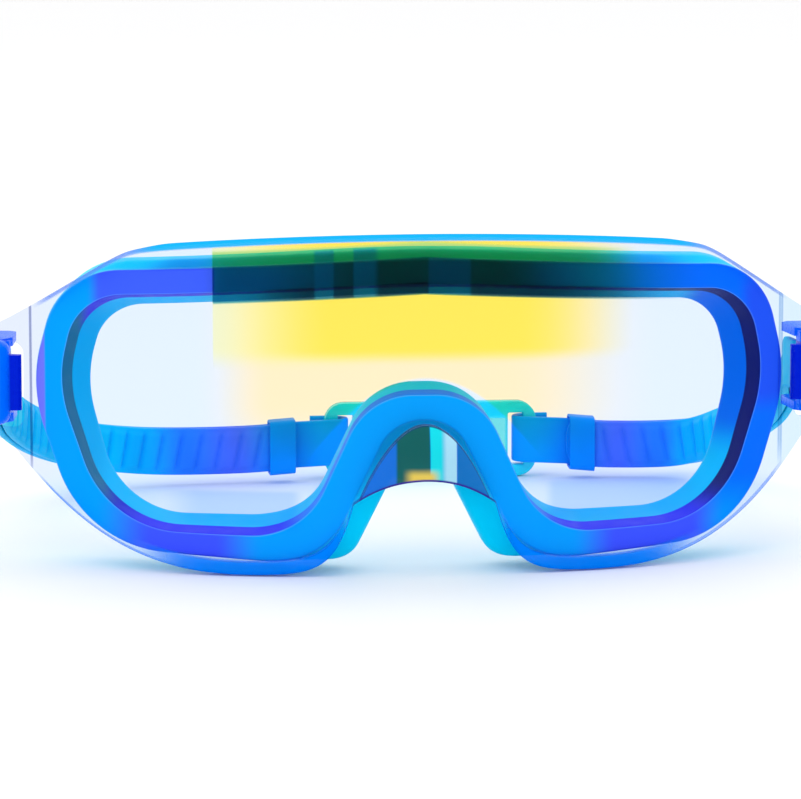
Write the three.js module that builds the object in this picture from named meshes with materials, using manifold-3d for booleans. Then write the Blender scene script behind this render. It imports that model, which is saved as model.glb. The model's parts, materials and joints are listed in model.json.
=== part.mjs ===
// A one-lens swim mask: clear shell, silicone face skirt, two side clips, two strap halves and a
// rear clasp. Millimetres. +Z is up, -Y is the way the lens faces, +X is to the right when the
// mask is seen from the front, and "left" and "right" are named from there too.
// The mask stands upright on its two lower lobes with the clasp resting on the same surface.
// The origin is the centre of that footprint, on the surface.

import * as THREE from 'three';
import { mergeVertices } from 'three/addons/utils/BufferGeometryUtils.js';
import Module from 'manifold-3d';

const wasm = await Module();
wasm.setup();

// ---------------------------------------------------------------- driving dimensions
// Gap that touching pieces keep to each other.
const gap = 0.3;

// Front surface of the shell, seen from above: y = x^2 / (2 R) + k x^4.
const lensRadius = 175;
const lensWrap = 1.6e-7;

// Shell outline, seen from the front.
const shellTop = 68.4;
const shellTopRadius = 625;
const shellCornerX = 58.8;
const shoulderSlope = 0.67;
const shellCornerBlend = 1.8;
const lobeX = 33;
const lobeRise = 23.2;
const lobeReach = 48;
const lobePower = 2.66;
const noseArchTop = 19.5;
const noseArchSag = 5.1;
const noseHalfWidth = 14.4;
const noseFlare = 3.6;

// Shell walls.
const lensThickness = 2;
const rimThickness = 1.2;
const rimDraft = 0.4;
const topRimDepth = 7;
const lobeRimDepth = 5;
const bridgeBulge = 3.2;
const bridgeWidth = 9;
const bridgeLow = 24;
const bridgeHigh = 37;

// Wing ends: two ears with the round bar that the strap clip swivels on.
const wingEndX = 89;
const wingTop = 47.4;
const wingBottom = 25.4;
const wingBlend = 1.6;
const wingWindowX = 79.6;
const earThickness = 2.1;
const hingeBarRadius = 1.75;
const hingeX = 86.4;

// Face skirt: outer edge of the bonding ring, then ring width, then the lip behind it.
const ringTopInset = 4.5;
const ringTop = shellTop - ringTopInset;
const ringTopDrop = 3.6;
const ringSide = 78.3;
const ringSideTop = 72;
const ringSideHeight = 36;
const ringLowX = 67.8;
const ringLowZ = 4.8;
const ringLobeX = 20.4;
const ringLobeZ = 1.9;
const ringNoseX = 6.2;
const ringNoseZ = 31.2;
const ringLobeRadius = 16;
const ringNoseRadius = 10;
const windowNoseRadius = 14;
const ringWidthTop = 4.8;
const ringWidthSide = 5.4;
const ringWidthLow = 3.6;
const ringWidthLobe = 5.6;
const ringWidthFlank = 4;
const ringWidthNose = 5.2;
const ringDepth = 3.2;
const lipInsetTop = 3.2;
const lipInsetSide = 6.4;
const lipInsetLow = 1.6;
const lipInsetLobe = 2.8;
const lipInsetNose = 2;
const lipDepth = 13;
const lipDepthNose = 7;
const sealDepth = 16;
const sealRiseTop = 1.9;
const sealInset = 1.6;
const sealShoulderRise = 1.4;
const sealLobeX = 14.4;
const sealLobeZ = 1.9;
const sealLobeRadius = 6;
const sealNoseX = 4.6;
const sealNoseZ = 21.4;

// Side clips.
const clipHeight = 17.4;
const clipMiddleZ = 36.35;
const clipTurn = 5;
const jawWall = 2.1;
const jawMouth = 2.7;
const jawMouthTurn = -78;
const jawEdge = 2.2;
const jawTongueHalfHeight = 5.7;
const jawTongueThickness = 2.4;
const clipPlate = 1.8;
const clipInset = 0.4;
const ribFront = 1.4;
const ribRear = 5.2;
const clipHalfWidth = 4.4;
const clipLength = 16.2;
const strapBarX = 11.6;
const strapBarRadius = 1.3;
const pinRadius = 0.8;
const leverPinX = 6.4;
const leverPinY = 4.4;
const leverHub = 1.7;
const leverThickness = 1.5;
const leverFront = 3.1;
const leverRear = 13.2;
const leverTooth = 1.1;

// Strap, as it lies when it is worn loose and set down.
const strapHeight = 10.6;
const strapThickness = 1.5;
const layerGap = 0.4;
const loopHalfWidth = 84;
const loopDepth = 127;
const loopCorner = 30;
const loopSkew = 15;
const tailShort = 0.5;
const turnRoom = 6;
const strapStep = 2.6;
const strapSag = 1.1;
const keeperLength = 6;
const keeperWall = 0.6;
const keeperFromEnd = 0.6;
const ribHeight = 0.6;

// Rear clasp.
const claspHeight = 17.4;
const claspLength = 49;
const claspThickness = 3.4;
const claspBar = 3;
const claspSlot = 3.6;
const claspCorner = 4.5;
const tongueHalfHeight = 4.4;
const tongueLength = 13;
const claspTab = 4.5;

// ---------------------------------------------------------------- colours
const clear = new THREE.Color(0.8, 0.9, 1);
const turquoise = new THREE.Color(0.02, 0.6, 0.9);
const royalBlue = new THREE.Color(0.02, 0.2, 0.85);
const strapBlue = new THREE.Color(0.03, 0.42, 0.95);
const aqua = new THREE.Color(0.1, 0.85, 0.85);
const steel = new THREE.Color(0.75, 0.77, 0.8);

const goggles = new THREE.Group();

function addPiece(name, geometry, color, roughness, metalness = 0) {
  const material = new THREE.MeshStandardMaterial({ color, roughness, metalness });
  const mesh = new THREE.Mesh(geometry, material);
  mesh.name = name;
  goggles.add(mesh);
}

// ---------------------------------------------------------------- solids
function signedVolume(position, index) {
  const a = new THREE.Vector3();
  const b = new THREE.Vector3();
  const c = new THREE.Vector3();
  let volume = 0;
  for (let i = 0; i < index.count; i += 3) {
    a.fromBufferAttribute(position, index.getX(i));
    b.fromBufferAttribute(position, index.getX(i + 1));
    c.fromBufferAttribute(position, index.getX(i + 2));
    volume += a.dot(b.cross(c)) / 6;
  }
  return volume;
}

// Turns every face to point out of the solid.
function faceOut(geometry) {
  const index = geometry.index;
  if (signedVolume(geometry.attributes.position, index) < 0) {
    for (let i = 0; i < index.count; i += 3) {
      const first = index.getX(i);
      index.setX(i, index.getX(i + 1));
      index.setX(i + 1, first);
    }
  }
  return geometry;
}

// Joins a row of sections, each a ring of as many points, into one closed solid. An open row
// gets flat ends, triangulated from the section's own flat outline.
function loft(sections, closed, outlines) {
  const size = sections[0].length;
  const points = sections.flat();
  const faces = [];
  const spans = closed ? sections.length : sections.length - 1;
  for (let i = 0; i < spans; i += 1) {
    const here = i * size;
    const next = ((i + 1) % sections.length) * size;
    for (let j = 0; j < size; j += 1) {
      const k = (j + 1) % size;
      faces.push(here + j, next + j, next + k);
      faces.push(here + j, next + k, here + k);
    }
  }
  if (!closed) {
    const last = (sections.length - 1) * size;
    const turn = THREE.ShapeUtils.area(outlines[0]) > 0;
    for (const [a, b, c] of THREE.ShapeUtils.triangulateShape(outlines[0], [])) {
      faces.push(...(turn ? [a, b, c] : [a, c, b]));
    }
    for (const [a, b, c] of THREE.ShapeUtils.triangulateShape(outlines[1], [])) {
      faces.push(...(turn ? [last + a, last + c, last + b] : [last + a, last + b, last + c]));
    }
  }
  const geometry = new THREE.BufferGeometry();
  geometry.setAttribute('position', new THREE.Float32BufferAttribute(points.flatMap((p) => p.toArray()), 3));
  geometry.setIndex(faces);
  return faceOut(geometry);
}

function toSolid(geometry) {
  const bare = geometry.clone();
  bare.deleteAttribute('normal');
  bare.deleteAttribute('uv');
  const merged = mergeVertices(bare, 1e-4);
  faceOut(merged);
  return new wasm.Manifold(new wasm.Mesh({
    numProp: 3,
    vertProperties: new Float32Array(merged.attributes.position.array),
    triVerts: new Uint32Array(merged.index.array),
  }));
}

function toGeometry(solid) {
  const mesh = solid.getMesh();
  const geometry = new THREE.BufferGeometry();
  geometry.setAttribute('position', new THREE.BufferAttribute(new Float32Array(mesh.vertProperties), 3));
  geometry.setIndex(new THREE.BufferAttribute(new Uint32Array(mesh.triVerts), 1));
  return geometry;
}

function join(...geometries) {
  const solids = geometries.map(toSolid);
  return toGeometry(solids.reduce((whole, solid) => whole.add(solid)));
}

function cut(geometry, ...tools) {
  let solid = toSolid(geometry);
  for (const tool of tools) {
    solid = solid.subtract(toSolid(tool));
  }
  return toGeometry(solid);
}

function boxBetween(low, high) {
  const size = high.map((value, axis) => value - low[axis]);
  const box = new THREE.BoxGeometry(...size);
  box.translate(...low.map((value, axis) => value + size[axis] / 2));
  return box;
}

// A round pin standing upright.
function uprightPin(x, y, lowZ, highZ, radius, sides = 24) {
  const pin = new THREE.CylinderGeometry(radius, radius, highZ - lowZ, sides);
  pin.rotateX(Math.PI / 2);
  pin.translate(x, y, (lowZ + highZ) / 2);
  return pin;
}

// A flat outline in x and y, carried upright from lowZ to highZ.
function uprightPlate(shape, lowZ, highZ) {
  const depth = highZ - lowZ;
  const plate = new THREE.ExtrudeGeometry(shape, { depth, bevelEnabled: false, curveSegments: 8 });
  plate.translate(0, 0, lowZ);
  return plate;
}

// The same piece on the other side of the mask.
function mirrored(geometry) {
  const copy = geometry.clone();
  copy.scale(-1, 1, 1);
  return faceOut(copy);
}

// ---------------------------------------------------------------- the front surface
function lensFront(x) {
  return x * x / (2 * lensRadius) + lensWrap * x ** 4;
}

function lensSlope(x) {
  return x / lensRadius + 4 * lensWrap * x ** 3;
}

// How far a wall of this thickness reaches along Y where the surface slopes away.
function alongY(thickness, x) {
  return thickness * Math.hypot(1, lensSlope(x));
}

// ---------------------------------------------------------------- shell
function smoothMin(a, b, blend) {
  return (a + b - Math.hypot(a - b, blend)) / 2;
}

function smoothMax(a, b, blend) {
  return -smoothMin(-a, -b, blend);
}

function smoothStep(low, high, value) {
  return THREE.MathUtils.smoothstep(value, low, high);
}

function shellTopAt(x) {
  const arch = shellTop - x * x / (2 * shellTopRadius);
  const corner = shellTop - shellCornerX ** 2 / (2 * shellTopRadius);
  const shoulder = corner - shoulderSlope * (Math.abs(x) - shellCornerX);
  const falling = smoothMin(arch, shoulder, shellCornerBlend);
  return smoothMax(falling, wingTop, wingBlend);
}

function shellBottomAt(x) {
  const reach = Math.abs(x);
  if (reach <= noseHalfWidth) {
    return noseArchTop - noseArchSag * (reach / noseHalfWidth) ** 2;
  }
  const foot = (noseArchTop - noseArchSag) * Math.exp((noseHalfWidth - reach) / noseFlare);
  const rise = lobeRise * (Math.max(reach - lobeX, 0) / lobeReach) ** lobePower;
  return smoothMin(foot + rise, wingBottom, wingBlend);
}

// The bridge over the nose stands forward of the lens as a rounded ridge.
function bridgeAt(x, z) {
  return bridgeBulge * Math.exp(-((x / bridgeWidth) ** 2)) * (1 - smoothStep(bridgeLow, bridgeHigh, z));
}

function shellStations() {
  const half = [0, 3, 6, 9, 12, noseHalfWidth - 0.05, noseHalfWidth + 0.15];
  for (const share of [0.25, 0.55, 0.95, 1.5, 2.2, 3, 4]) {
    half.push(noseHalfWidth + share * noseFlare);
  }
  for (let x = lobeX; x < shellCornerX - 4; x += 4) {
    half.push(x);
  }
  for (let x = shellCornerX - 3; x < shellCornerX + 5; x += 2) {
    half.push(x);
  }
  const first = shellCornerX + 6;
  const steps = 10;
  for (let i = 0; i <= steps; i += 1) {
    half.push(first + (wingEndX - first) * i / steps);
  }
  const mirroredHalf = half.slice(1).reverse().map((x) => -x);
  return [...mirroredHalf, ...half];
}

function shellSection(x) {
  const reach = Math.abs(x);
  const low = shellBottomAt(x);
  const high = shellTopAt(x);
  const back = alongY(lensThickness, x);
  const step = 0.05;
  const topWall = rimThickness * Math.hypot(1, (shellTopAt(reach + step) - high) / step);
  const lowWall = rimThickness * Math.min(Math.hypot(1, (shellBottomAt(reach + step) - low) / step), 2);
  const onShoulder = smoothStep(shellCornerX - 9, shellCornerX - 1, reach);
  const topDepth = THREE.MathUtils.lerp(topRimDepth, back, onShoulder);
  const onLobe = smoothStep(lobeX - 9, lobeX - 3, reach) * (1 - smoothStep(lobeX + 5, lobeX + 16, reach));
  const lowDepth = THREE.MathUtils.lerp(back, lobeRimDepth, onLobe);
  const rows = [0, 0.12, 0.24, 0.36, 0.5, 1];
  const front = rows.map((share) => {
    const z = low + (high - low) * share;
    return [-bridgeAt(x, z), z];
  });
  const top = high - topWall;
  const bottom = low + lowWall;
  const rear = rows.map((share) => {
    const z = bottom + rimDraft + (top - bottom - 2 * rimDraft) * share;
    return [back - bridgeAt(x, z), z];
  });
  const outline = [
    ...front,
    [topDepth, high],
    [topDepth, top],
    ...rear.reverse(),
    [lowDepth - bridgeAt(x, bottom), bottom],
    [lowDepth - bridgeAt(x, low), low],
  ];
  return {
    flat: outline.map(([n, z]) => new THREE.Vector2(n, z)),
    placed: outline.map(([n, z]) => new THREE.Vector3(x, lensFront(x) + n, z)),
  };
}

const hingeY = lensFront(hingeX) + alongY(lensThickness, hingeX) / 2;

// Cuts the window that leaves the two ears, and joins the round hinge bar between them.
function wingEnd(shell, side) {
  const low = wingBottom + earThickness;
  const high = wingTop - earThickness;
  const [nearX, farX] = [side * wingWindowX, side * (wingEndX + 2)].sort((a, b) => a - b);
  const window = boxBetween([nearX, 0, low], [farX, hingeY + 20, high]);
  const bar = uprightPin(side * hingeX, hingeY, low - 1, high + 1, hingeBarRadius);
  return join(cut(shell, window), bar);
}

function frontShell() {
  const sections = shellStations().map(shellSection);
  const outlines = [sections[0].flat, sections[sections.length - 1].flat];
  const shell = loft(sections.map((section) => section.placed), false, outlines);
  return wingEnd(wingEnd(shell, 1), -1);
}

addPiece('front_shell', frontShell(), clear, 0.05);

// ---------------------------------------------------------------- face skirt
// Steps round each corner of a loop, and along each edge that follows a corner.
const loopArcSteps = 7;
const loopEdgeSteps = [7, 2, 2, 5, 2, 2];

// One rounded corner, as points from the edge before it to the edge after it.
function roundedCorner(before, here, after, radius) {
  const back = before.clone().sub(here).normalize();
  const ahead = after.clone().sub(here).normalize();
  const halfAngle = Math.acos(THREE.MathUtils.clamp(back.dot(ahead), -1, 1)) / 2;
  const room = 0.47 * Math.min(here.distanceTo(before), here.distanceTo(after));
  const reach = Math.min(radius / Math.tan(halfAngle), room);
  const start = here.clone().addScaledVector(back, reach);
  const end = here.clone().addScaledVector(ahead, reach);
  const weight = Math.sin(halfAngle);
  const points = [];
  for (let k = 0; k <= loopArcSteps; k += 1) {
    const t = k / loopArcSteps;
    const [a, b, c] = [(1 - t) ** 2, 2 * weight * t * (1 - t), t ** 2];
    const point = start.clone().multiplyScalar(a).addScaledVector(here, b).addScaledVector(end, c);
    points.push(point.divideScalar(a + b + c));
  }
  return points;
}

// A whole loop round the mask, from half of its corners as [x, z, radius], which run from the
// top middle over the side and the lobe to the nose.
function roundedLoop(half) {
  const otherHalf = half.slice(1).reverse().map(([x, z, radius]) => [-x, z, radius]);
  const corners = [...half, ...otherHalf].map(([x, z, radius]) => ({ at: new THREE.Vector2(x, z), radius }));
  const steps = [...loopEdgeSteps, ...loopEdgeSteps.slice(0, -1).reverse()];
  const count = corners.length;
  const arcs = corners.map(({ at, radius }, i) => {
    const before = corners[(i + count - 1) % count].at;
    return roundedCorner(before, at, corners[(i + 1) % count].at, radius);
  });
  return arcs.flatMap((arc, i) => {
    const next = arcs[(i + 1) % count][0];
    const last = arc[arc.length - 1];
    const edge = [];
    for (let k = 1; k < steps[i]; k += 1) {
      edge.push(last.clone().lerp(next, k / steps[i]));
    }
    return [...arc, ...edge];
  });
}

// The skirt's four loops: the ring's outer and inner edges, the lip's edge and the face seal.
function skirtLoops() {
  const shoulder = ringTop - ringTopDrop;
  const flankX = ringNoseX + ringWidthNose;
  const innerLobeX = ringLobeX + ringWidthFlank;
  const outer = [
    [0, ringTop, 300],
    [ringSideTop, shoulder, 21],
    [ringSide, ringSideHeight, 30],
    [ringLowX, ringLowZ, 26],
    [ringLobeX, ringLobeZ, ringLobeRadius],
    [ringNoseX, ringNoseZ, ringNoseRadius],
  ];
  const inner = [
    [0, ringTop - ringWidthTop, 300],
    [ringSideTop - ringWidthSide * 0.6, shoulder - ringWidthTop, 17],
    [ringSide - ringWidthSide, ringSideHeight + 1, 26],
    [ringLowX - ringWidthSide + 0.8, ringLowZ + ringWidthLow, 20],
    [innerLobeX, ringLobeZ + ringWidthLobe, ringLobeRadius],
    [flankX, ringNoseZ + ringWidthNose, windowNoseRadius],
  ];
  const lipInsets = [
    [0, lipInsetTop],
    [lipInsetSide, lipInsetTop],
    [lipInsetSide, 0],
    [lipInsetSide * 0.55, -lipInsetLow],
    [lipInsetNose * 0.4, -lipInsetLobe],
    [lipInsetNose * 0.6, -lipInsetNose],
  ];
  const lip = inner.map(([x, z, radius], i) => [x - lipInsets[i][0], z - lipInsets[i][1], radius]);
  const seal = [
    [0, ringTop + sealRiseTop, 300],
    [ringSideTop - sealInset - 0.4, shoulder + sealShoulderRise, 21],
    [ringSide - sealInset, ringSideHeight, 30],
    [ringLowX - 1, ringLowZ + sealInset, 24],
    [sealLobeX, sealLobeZ, sealLobeRadius],
    [sealNoseX, sealNoseZ, ringNoseRadius],
  ];
  return [outer, inner, lip, seal].map(roundedLoop);
}

// The lip stands less far back over the nose than round the rest of the window.
function lipDepthAt(point) {
  const overNose = 1 - smoothStep(ringLobeX, ringLobeX + 12, Math.abs(point.x));
  const low = 1 - smoothStep(ringNoseZ + 10, ringNoseZ + 16, point.y);
  return THREE.MathUtils.lerp(lipDepth, lipDepthNose, overNose * low);
}

// One profile of the skirt, as shares of the way between two loops at depths behind the lens.
function skirtProfile(outer, inner, lip, seal) {
  const deep = lipDepthAt(lip);
  return [
    [outer, 0],
    [inner, 0],
    [inner.clone().lerp(lip, 0.35), deep * 0.45],
    [lip, deep],
    [lip.clone().lerp(seal, 0.12), sealDepth],
    [lip.clone().lerp(seal, 0.5), sealDepth + 0.6],
    [lip.clone().lerp(seal, 0.8), sealDepth - 1.2],
    [seal, lipDepth - 1],
    [seal, ringDepth + 2.2],
    [outer, ringDepth],
  ];
}

function faceSkirt() {
  const [outer, inner, lip, seal] = skirtLoops();
  const sections = outer.map((edge, i) => {
    const profile = skirtProfile(edge, inner[i], lip[i], seal[i]);
    return profile.map(([point, depth]) => {
      const back = lensFront(point.x) + alongY(lensThickness + gap, point.x);
      return new THREE.Vector3(point.x, back + depth, point.y);
    });
  });
  return loft(sections, true);
}

addPiece('face_skirt', faceSkirt(), turquoise, 0.5);

// ---------------------------------------------------------------- side clips
// Clip parts are drawn in the clip's own frame: +x runs back along the strap, +y points away
// from the head, and the hinge bar's axis is the origin. This places them on the +X side.
const clipAngle = THREE.MathUtils.degToRad(90 + clipTurn);

function placedClip(geometry) {
  const flipped = geometry.clone();
  flipped.scale(1, -1, 1);
  flipped.rotateZ(clipAngle);
  flipped.translate(hingeX, hingeY, clipMiddleZ);
  return faceOut(flipped);
}

function clipPoint(x, y) {
  const point = new THREE.Vector2(x, -y).rotateAround(new THREE.Vector2(), clipAngle);
  return point.add(new THREE.Vector2(hingeX, hingeY));
}

const clipHalf = clipHeight / 2;
const barTurn = strapBarRadius + gap + strapThickness / 2;
const jawRadius = hingeBarRadius + gap + jawWall;

function roundedBar(lowX, highX, lowY, highY, radius) {
  const shape = new THREE.Shape();
  shape.moveTo(lowX + radius, lowY);
  shape.lineTo(highX - radius, lowY);
  shape.absarc(highX - radius, lowY + radius, radius, -Math.PI / 2, 0);
  shape.lineTo(highX, highY - radius);
  shape.absarc(highX - radius, highY - radius, radius, 0, Math.PI / 2);
  shape.lineTo(lowX + radius, highY);
  shape.absarc(lowX + radius, highY - radius, radius, Math.PI / 2, Math.PI);
  shape.lineTo(lowX, lowY + radius);
  shape.absarc(lowX + radius, lowY + radius, radius, Math.PI, Math.PI * 1.5);
  return shape;
}

// The jaw round the hinge bar: an upright barrel with rounded ends.
function jawBarrel() {
  const profile = [new THREE.Vector2(0, -clipHalf)];
  for (const end of [-1, 1]) {
    for (let i = 0; i <= 5; i += 1) {
      const turn = (end < 0 ? i : 5 - i) * Math.PI / 10;
      const radius = jawRadius - jawEdge * (1 - Math.sin(turn));
      profile.push(new THREE.Vector2(radius, end * (clipHalf - jawEdge * (1 - Math.cos(turn)))));
    }
  }
  profile.push(new THREE.Vector2(0, clipHalf));
  const barrel = new THREE.LatheGeometry(profile, 32);
  barrel.rotateX(Math.PI / 2);
  return barrel;
}

// A cheek of the clip: narrow at the jaw, wider at the lever pin and round at the back.
function cheekShape() {
  const top = leverPinY + leverHub;
  const outline = [
    [0.6, jawRadius - jawEdge],
    [leverPinX - leverHub - 1, top - 0.4],
    [leverPinX + leverHub, top - 0.2],
    [clipLength - 1.6, clipHalfWidth - 0.4],
    [clipLength, clipHalfWidth - 2],
    [clipLength, 1.6 - clipHalfWidth],
    [clipLength - 1.6, -clipHalfWidth],
    [leverPinX - leverHub, -clipHalfWidth],
    [0.6, jawEdge - jawRadius],
  ];
  return new THREE.Shape(outline.map(([x, y]) => new THREE.Vector2(x, y)));
}

function clipBody() {
  const cheek = cheekShape();
  const low = uprightPlate(cheek, -clipHalf, clipPlate - clipHalf);
  const high = uprightPlate(cheek, clipHalf - clipPlate, clipHalf);
  const bar = uprightPin(strapBarX, 0, clipInset - clipHalf, clipHalf - clipInset, strapBarRadius, 20);
  const ribShape = roundedBar(ribFront, ribRear, clipInset - clipHalfWidth, 0.6, 0.5);
  const rib = uprightPlate(ribShape, clipInset - clipHalf, clipHalf - clipInset);
  const tongueReach = hingeX - wingWindowX - gap;
  const halfTongue = jawTongueThickness / 2;
  const tongueShape = roundedBar(-halfTongue, halfTongue, -tongueReach, -1, halfTongue * 0.8);
  const tongue = uprightPlate(tongueShape, -jawTongueHalfHeight, jawTongueHalfHeight);
  const bore = uprightPin(0, 0, -clipHalf - 1, clipHalf + 1, hingeBarRadius + gap, 28);
  const mouth = boxBetween([-jawRadius - 1, -jawMouth / 2, -clipHalf - 1], [0, jawMouth / 2, clipHalf + 1]);
  mouth.rotateZ(THREE.MathUtils.degToRad(jawMouthTurn));
  const pinHole = uprightPin(leverPinX, leverPinY, -clipHalf - 1, clipHalf + 1, pinRadius + gap, 20);
  return cut(join(low, high, jawBarrel(), bar, rib, tongue), bore, mouth, pinHole);
}

const leverHalf = clipHalf - clipPlate - gap;

// The release lever: a thumb pad in front of its pin, and an arm whose tooth holds the strap.
function releaseLever() {
  const top = leverPinY + leverHub;
  const toothEnd = barTurn + strapThickness / 2 + gap + 0.1;
  const outline = [
    [leverFront, top - leverThickness],
    [leverFront, top - 0.3],
    [leverFront + 0.6, top + 0.2],
    [leverPinX, top],
    [leverRear - 1, top - 0.9],
    [leverRear, top - 1.6],
    [leverRear, toothEnd],
    [leverRear - leverTooth, toothEnd],
    [leverRear - leverTooth, top - leverThickness - 1.2],
    [leverPinX + 1, leverPinY - leverHub + 0.4],
    [leverPinX - 1, leverPinY - leverHub + 0.4],
  ];
  const shape = new THREE.Shape(outline.map(([x, y]) => new THREE.Vector2(x, y)));
  const arm = uprightPlate(shape, -leverHalf, leverHalf);
  const hole = uprightPin(leverPinX, leverPinY, -leverHalf - 1, leverHalf + 1, pinRadius + gap, 20);
  return cut(arm, hole);
}

function leverPin() {
  return uprightPin(leverPinX, leverPinY, -clipHalf + gap, clipHalf - gap, pinRadius, 20);
}

// ---------------------------------------------------------------- strap
// Route of one half of the strap from the clip round to the rear, seen from above, for the
// unskewed loop. The loop's rear lies askew by loopSkew towards +X.
const routeStart = clipPoint(clipLength + 1, 0);

function routeCurve(side) {
  const halfClasp = claspLength / 2;
  const corner = loopHalfWidth - loopCorner * 0.3;
  const rear = loopDepth;
  const plan = [
    [routeStart.x, routeStart.y, clipMiddleZ, 0],
    [loopHalfWidth, rear * 0.62, 23.5, 0.1],
    [corner, rear - loopCorner * 0.66, 13.2, 0.3],
    [loopHalfWidth - loopCorner * 0.72, rear - loopCorner * 0.16, 8.4, 0.66],
    [(loopHalfWidth - loopCorner + halfClasp) * 0.54, rear - 0.6, claspHeight / 2 - strapSag, 0.88],
    [halfClasp + turnRoom, rear, claspHeight / 2 - strapSag / 3, 0.98],
    [halfClasp - claspBar, rear, claspHeight / 2, 1],
  ];
  const points = plan.map(([x, y, z, skew]) => new THREE.Vector3(side * x + loopSkew * skew, y, z));
  return new THREE.CatmullRomCurve3(points, false, 'centripetal');
}

// Points along the route, moved sideways away from the head by offset(distance to the end).
function alongRoute(curve, side, from, to, offset) {
  const length = curve.getLength();
  const steps = Math.ceil(Math.abs(to - from) / strapStep);
  const points = [];
  for (let i = 0; i <= steps; i += 1) {
    const at = from + (to - from) * i / steps;
    const share = THREE.MathUtils.clamp(at / length, 0, 1);
    const point = curve.getPointAt(share);
    const ahead = curve.getTangentAt(share);
    const out = new THREE.Vector2(ahead.y, -ahead.x).normalize().multiplyScalar(side);
    const away = offset(at);
    points.push(new THREE.Vector3(point.x + out.x * away, point.y + out.y * away, point.z));
  }
  return points;
}

// Half a turn round an upright bar, from the direction of start to its opposite.
function halfTurn(centre, radius, startAngle, turn, z, steps = 10) {
  const points = [];
  for (let i = 0; i <= steps; i += 1) {
    const angle = startAngle + turn * Math.PI * i / steps;
    const x = centre.x + radius * Math.cos(angle);
    points.push(new THREE.Vector3(x, centre.y + radius * Math.sin(angle), z));
  }
  return points;
}

// A flat band standing on edge along a line of points.
function band(line, height, thickness) {
  const sections = line.map((point, i) => {
    const before = line[Math.max(i - 1, 0)];
    const after = line[Math.min(i + 1, line.length - 1)];
    const out = new THREE.Vector2(after.y - before.y, before.x - after.x).normalize();
    return [[-1, -1], [1, -1], [1, 1], [-1, 1]].map(([across, up]) => new THREE.Vector3(
      point.x + out.x * across * thickness / 2,
      point.y + out.y * across * thickness / 2,
      point.z + up * height / 2,
    ));
  });
  const flat = [[-1, -1], [1, -1], [1, 1], [-1, 1]].map(([x, y]) => new THREE.Vector2(x, y));
  return loft(sections, false, [flat, flat]);
}

const claspBarX = claspLength / 2 - claspBar / 2;
const claspBarTurn = Math.hypot(claspBar, claspThickness) / 2 + gap + strapThickness / 2;
const strapBand = strapThickness + layerGap;
const claspY = loopDepth + strapBand / 2 + claspBarTurn;

function layerOffset(at) {
  return THREE.MathUtils.lerp(barTurn, strapBand / 2, smoothStep(0, 14, at));
}

function strapLine(side) {
  const curve = routeCurve(side);
  const length = curve.getLength();
  const reach = length - claspBar - turnRoom;
  const tailEnd = reach - tailShort;
  const tail = alongRoute(curve, side, tailEnd, 0, (at) => -layerOffset(at));
  const main = alongRoute(curve, side, 0, reach, layerOffset);
  const clipBarCentre = clipPoint(strapBarX, 0);
  const centre = new THREE.Vector2(side * clipBarCentre.x, clipBarCentre.y);
  const heading = Math.PI / 2 + side * THREE.MathUtils.degToRad(clipTurn);
  const innerSide = heading + side * Math.PI / 2;
  const clipLoop = halfTurn(centre, barTurn, innerSide, side, clipMiddleZ);
  const rearX = side * claspBarX + loopSkew;
  const rearBar = new THREE.Vector2(rearX, claspY);
  const rearZ = claspHeight / 2;
  const rearLoop = halfTurn(rearBar, claspBarTurn, -Math.PI / 2, -side, rearZ);
  const tabY = claspY + claspBarTurn;
  const tab = [1, 2, 3].map((k) => new THREE.Vector3(rearX + side * k * claspTab / 3, tabY, rearZ));
  return [...tail, ...clipLoop, ...main, ...rearLoop, ...tab];
}

function strapHalf(side) {
  return band(strapLine(side), strapHeight, strapThickness);
}

// A loop that holds the strap's loose tail against its main run.
function keeper(side) {
  const curve = routeCurve(side);
  const end = curve.getLength() - claspBar - turnRoom - tailShort - keeperFromEnd;
  const line = alongRoute(curve, side, end - keeperLength, end, () => 0);
  const longer = alongRoute(curve, side, end - keeperLength - 1, end + 1, () => 0);
  const inside = 2 * strapThickness + layerGap + 2 * gap + 2 * ribHeight;
  const room = band(longer, strapHeight + 2 * gap, inside);
  return cut(band(line, strapHeight + 2 * gap + 2 * keeperWall, inside + 2 * keeperWall), room);
}

// ---------------------------------------------------------------- rear clasp
// Drawn flat in x and z about the clasp's middle, with the plug half on the +X side.
function claspPlate(lowX, highX) {
  const plate = roundedBar(lowX, highX, -claspHeight / 2, claspHeight / 2, claspCorner);
  const options = { depth: claspThickness, bevelEnabled: false, curveSegments: 6 };
  const solid = new THREE.ExtrudeGeometry(plate, options);
  solid.translate(0, 0, -claspThickness / 2);
  solid.rotateX(Math.PI / 2);
  return solid;
}

function claspCut(lowX, highX, halfHeight) {
  const deep = claspThickness;
  return boxBetween([lowX, -deep, -halfHeight], [highX, deep, halfHeight]);
}

function placedClasp(geometry) {
  const placed = geometry.clone();
  placed.translate(loopSkew, claspY, claspHeight / 2);
  return faceOut(placed);
}

const slotHalfHeight = strapHeight / 2 + 0.7;
const slotFar = claspLength / 2 - claspBar;
const mouthX = 6;

function claspSocket() {
  const plate = claspPlate(-claspLength / 2, mouthX);
  const strapSlot = claspCut(-slotFar, claspSlot - slotFar, slotHalfHeight);
  const mouth = claspCut(mouthX - tongueLength - gap, mouthX + 1, tongueHalfHeight + gap);
  return placedClasp(cut(plate, strapSlot, mouth));
}

function claspPlug() {
  const plate = claspPlate(mouthX + gap, claspLength / 2);
  const strapSlot = claspCut(slotFar - claspSlot, slotFar, slotHalfHeight);
  const tongue = claspCut(mouthX - tongueLength, mouthX + 4, tongueHalfHeight);
  tongue.scale(1, 0.5, 1);
  const window = claspCut(mouthX - tongueLength + 3, mouthX - 1.5, tongueHalfHeight - 2);
  return placedClasp(cut(join(plate, tongue), strapSlot, window));
}

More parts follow.
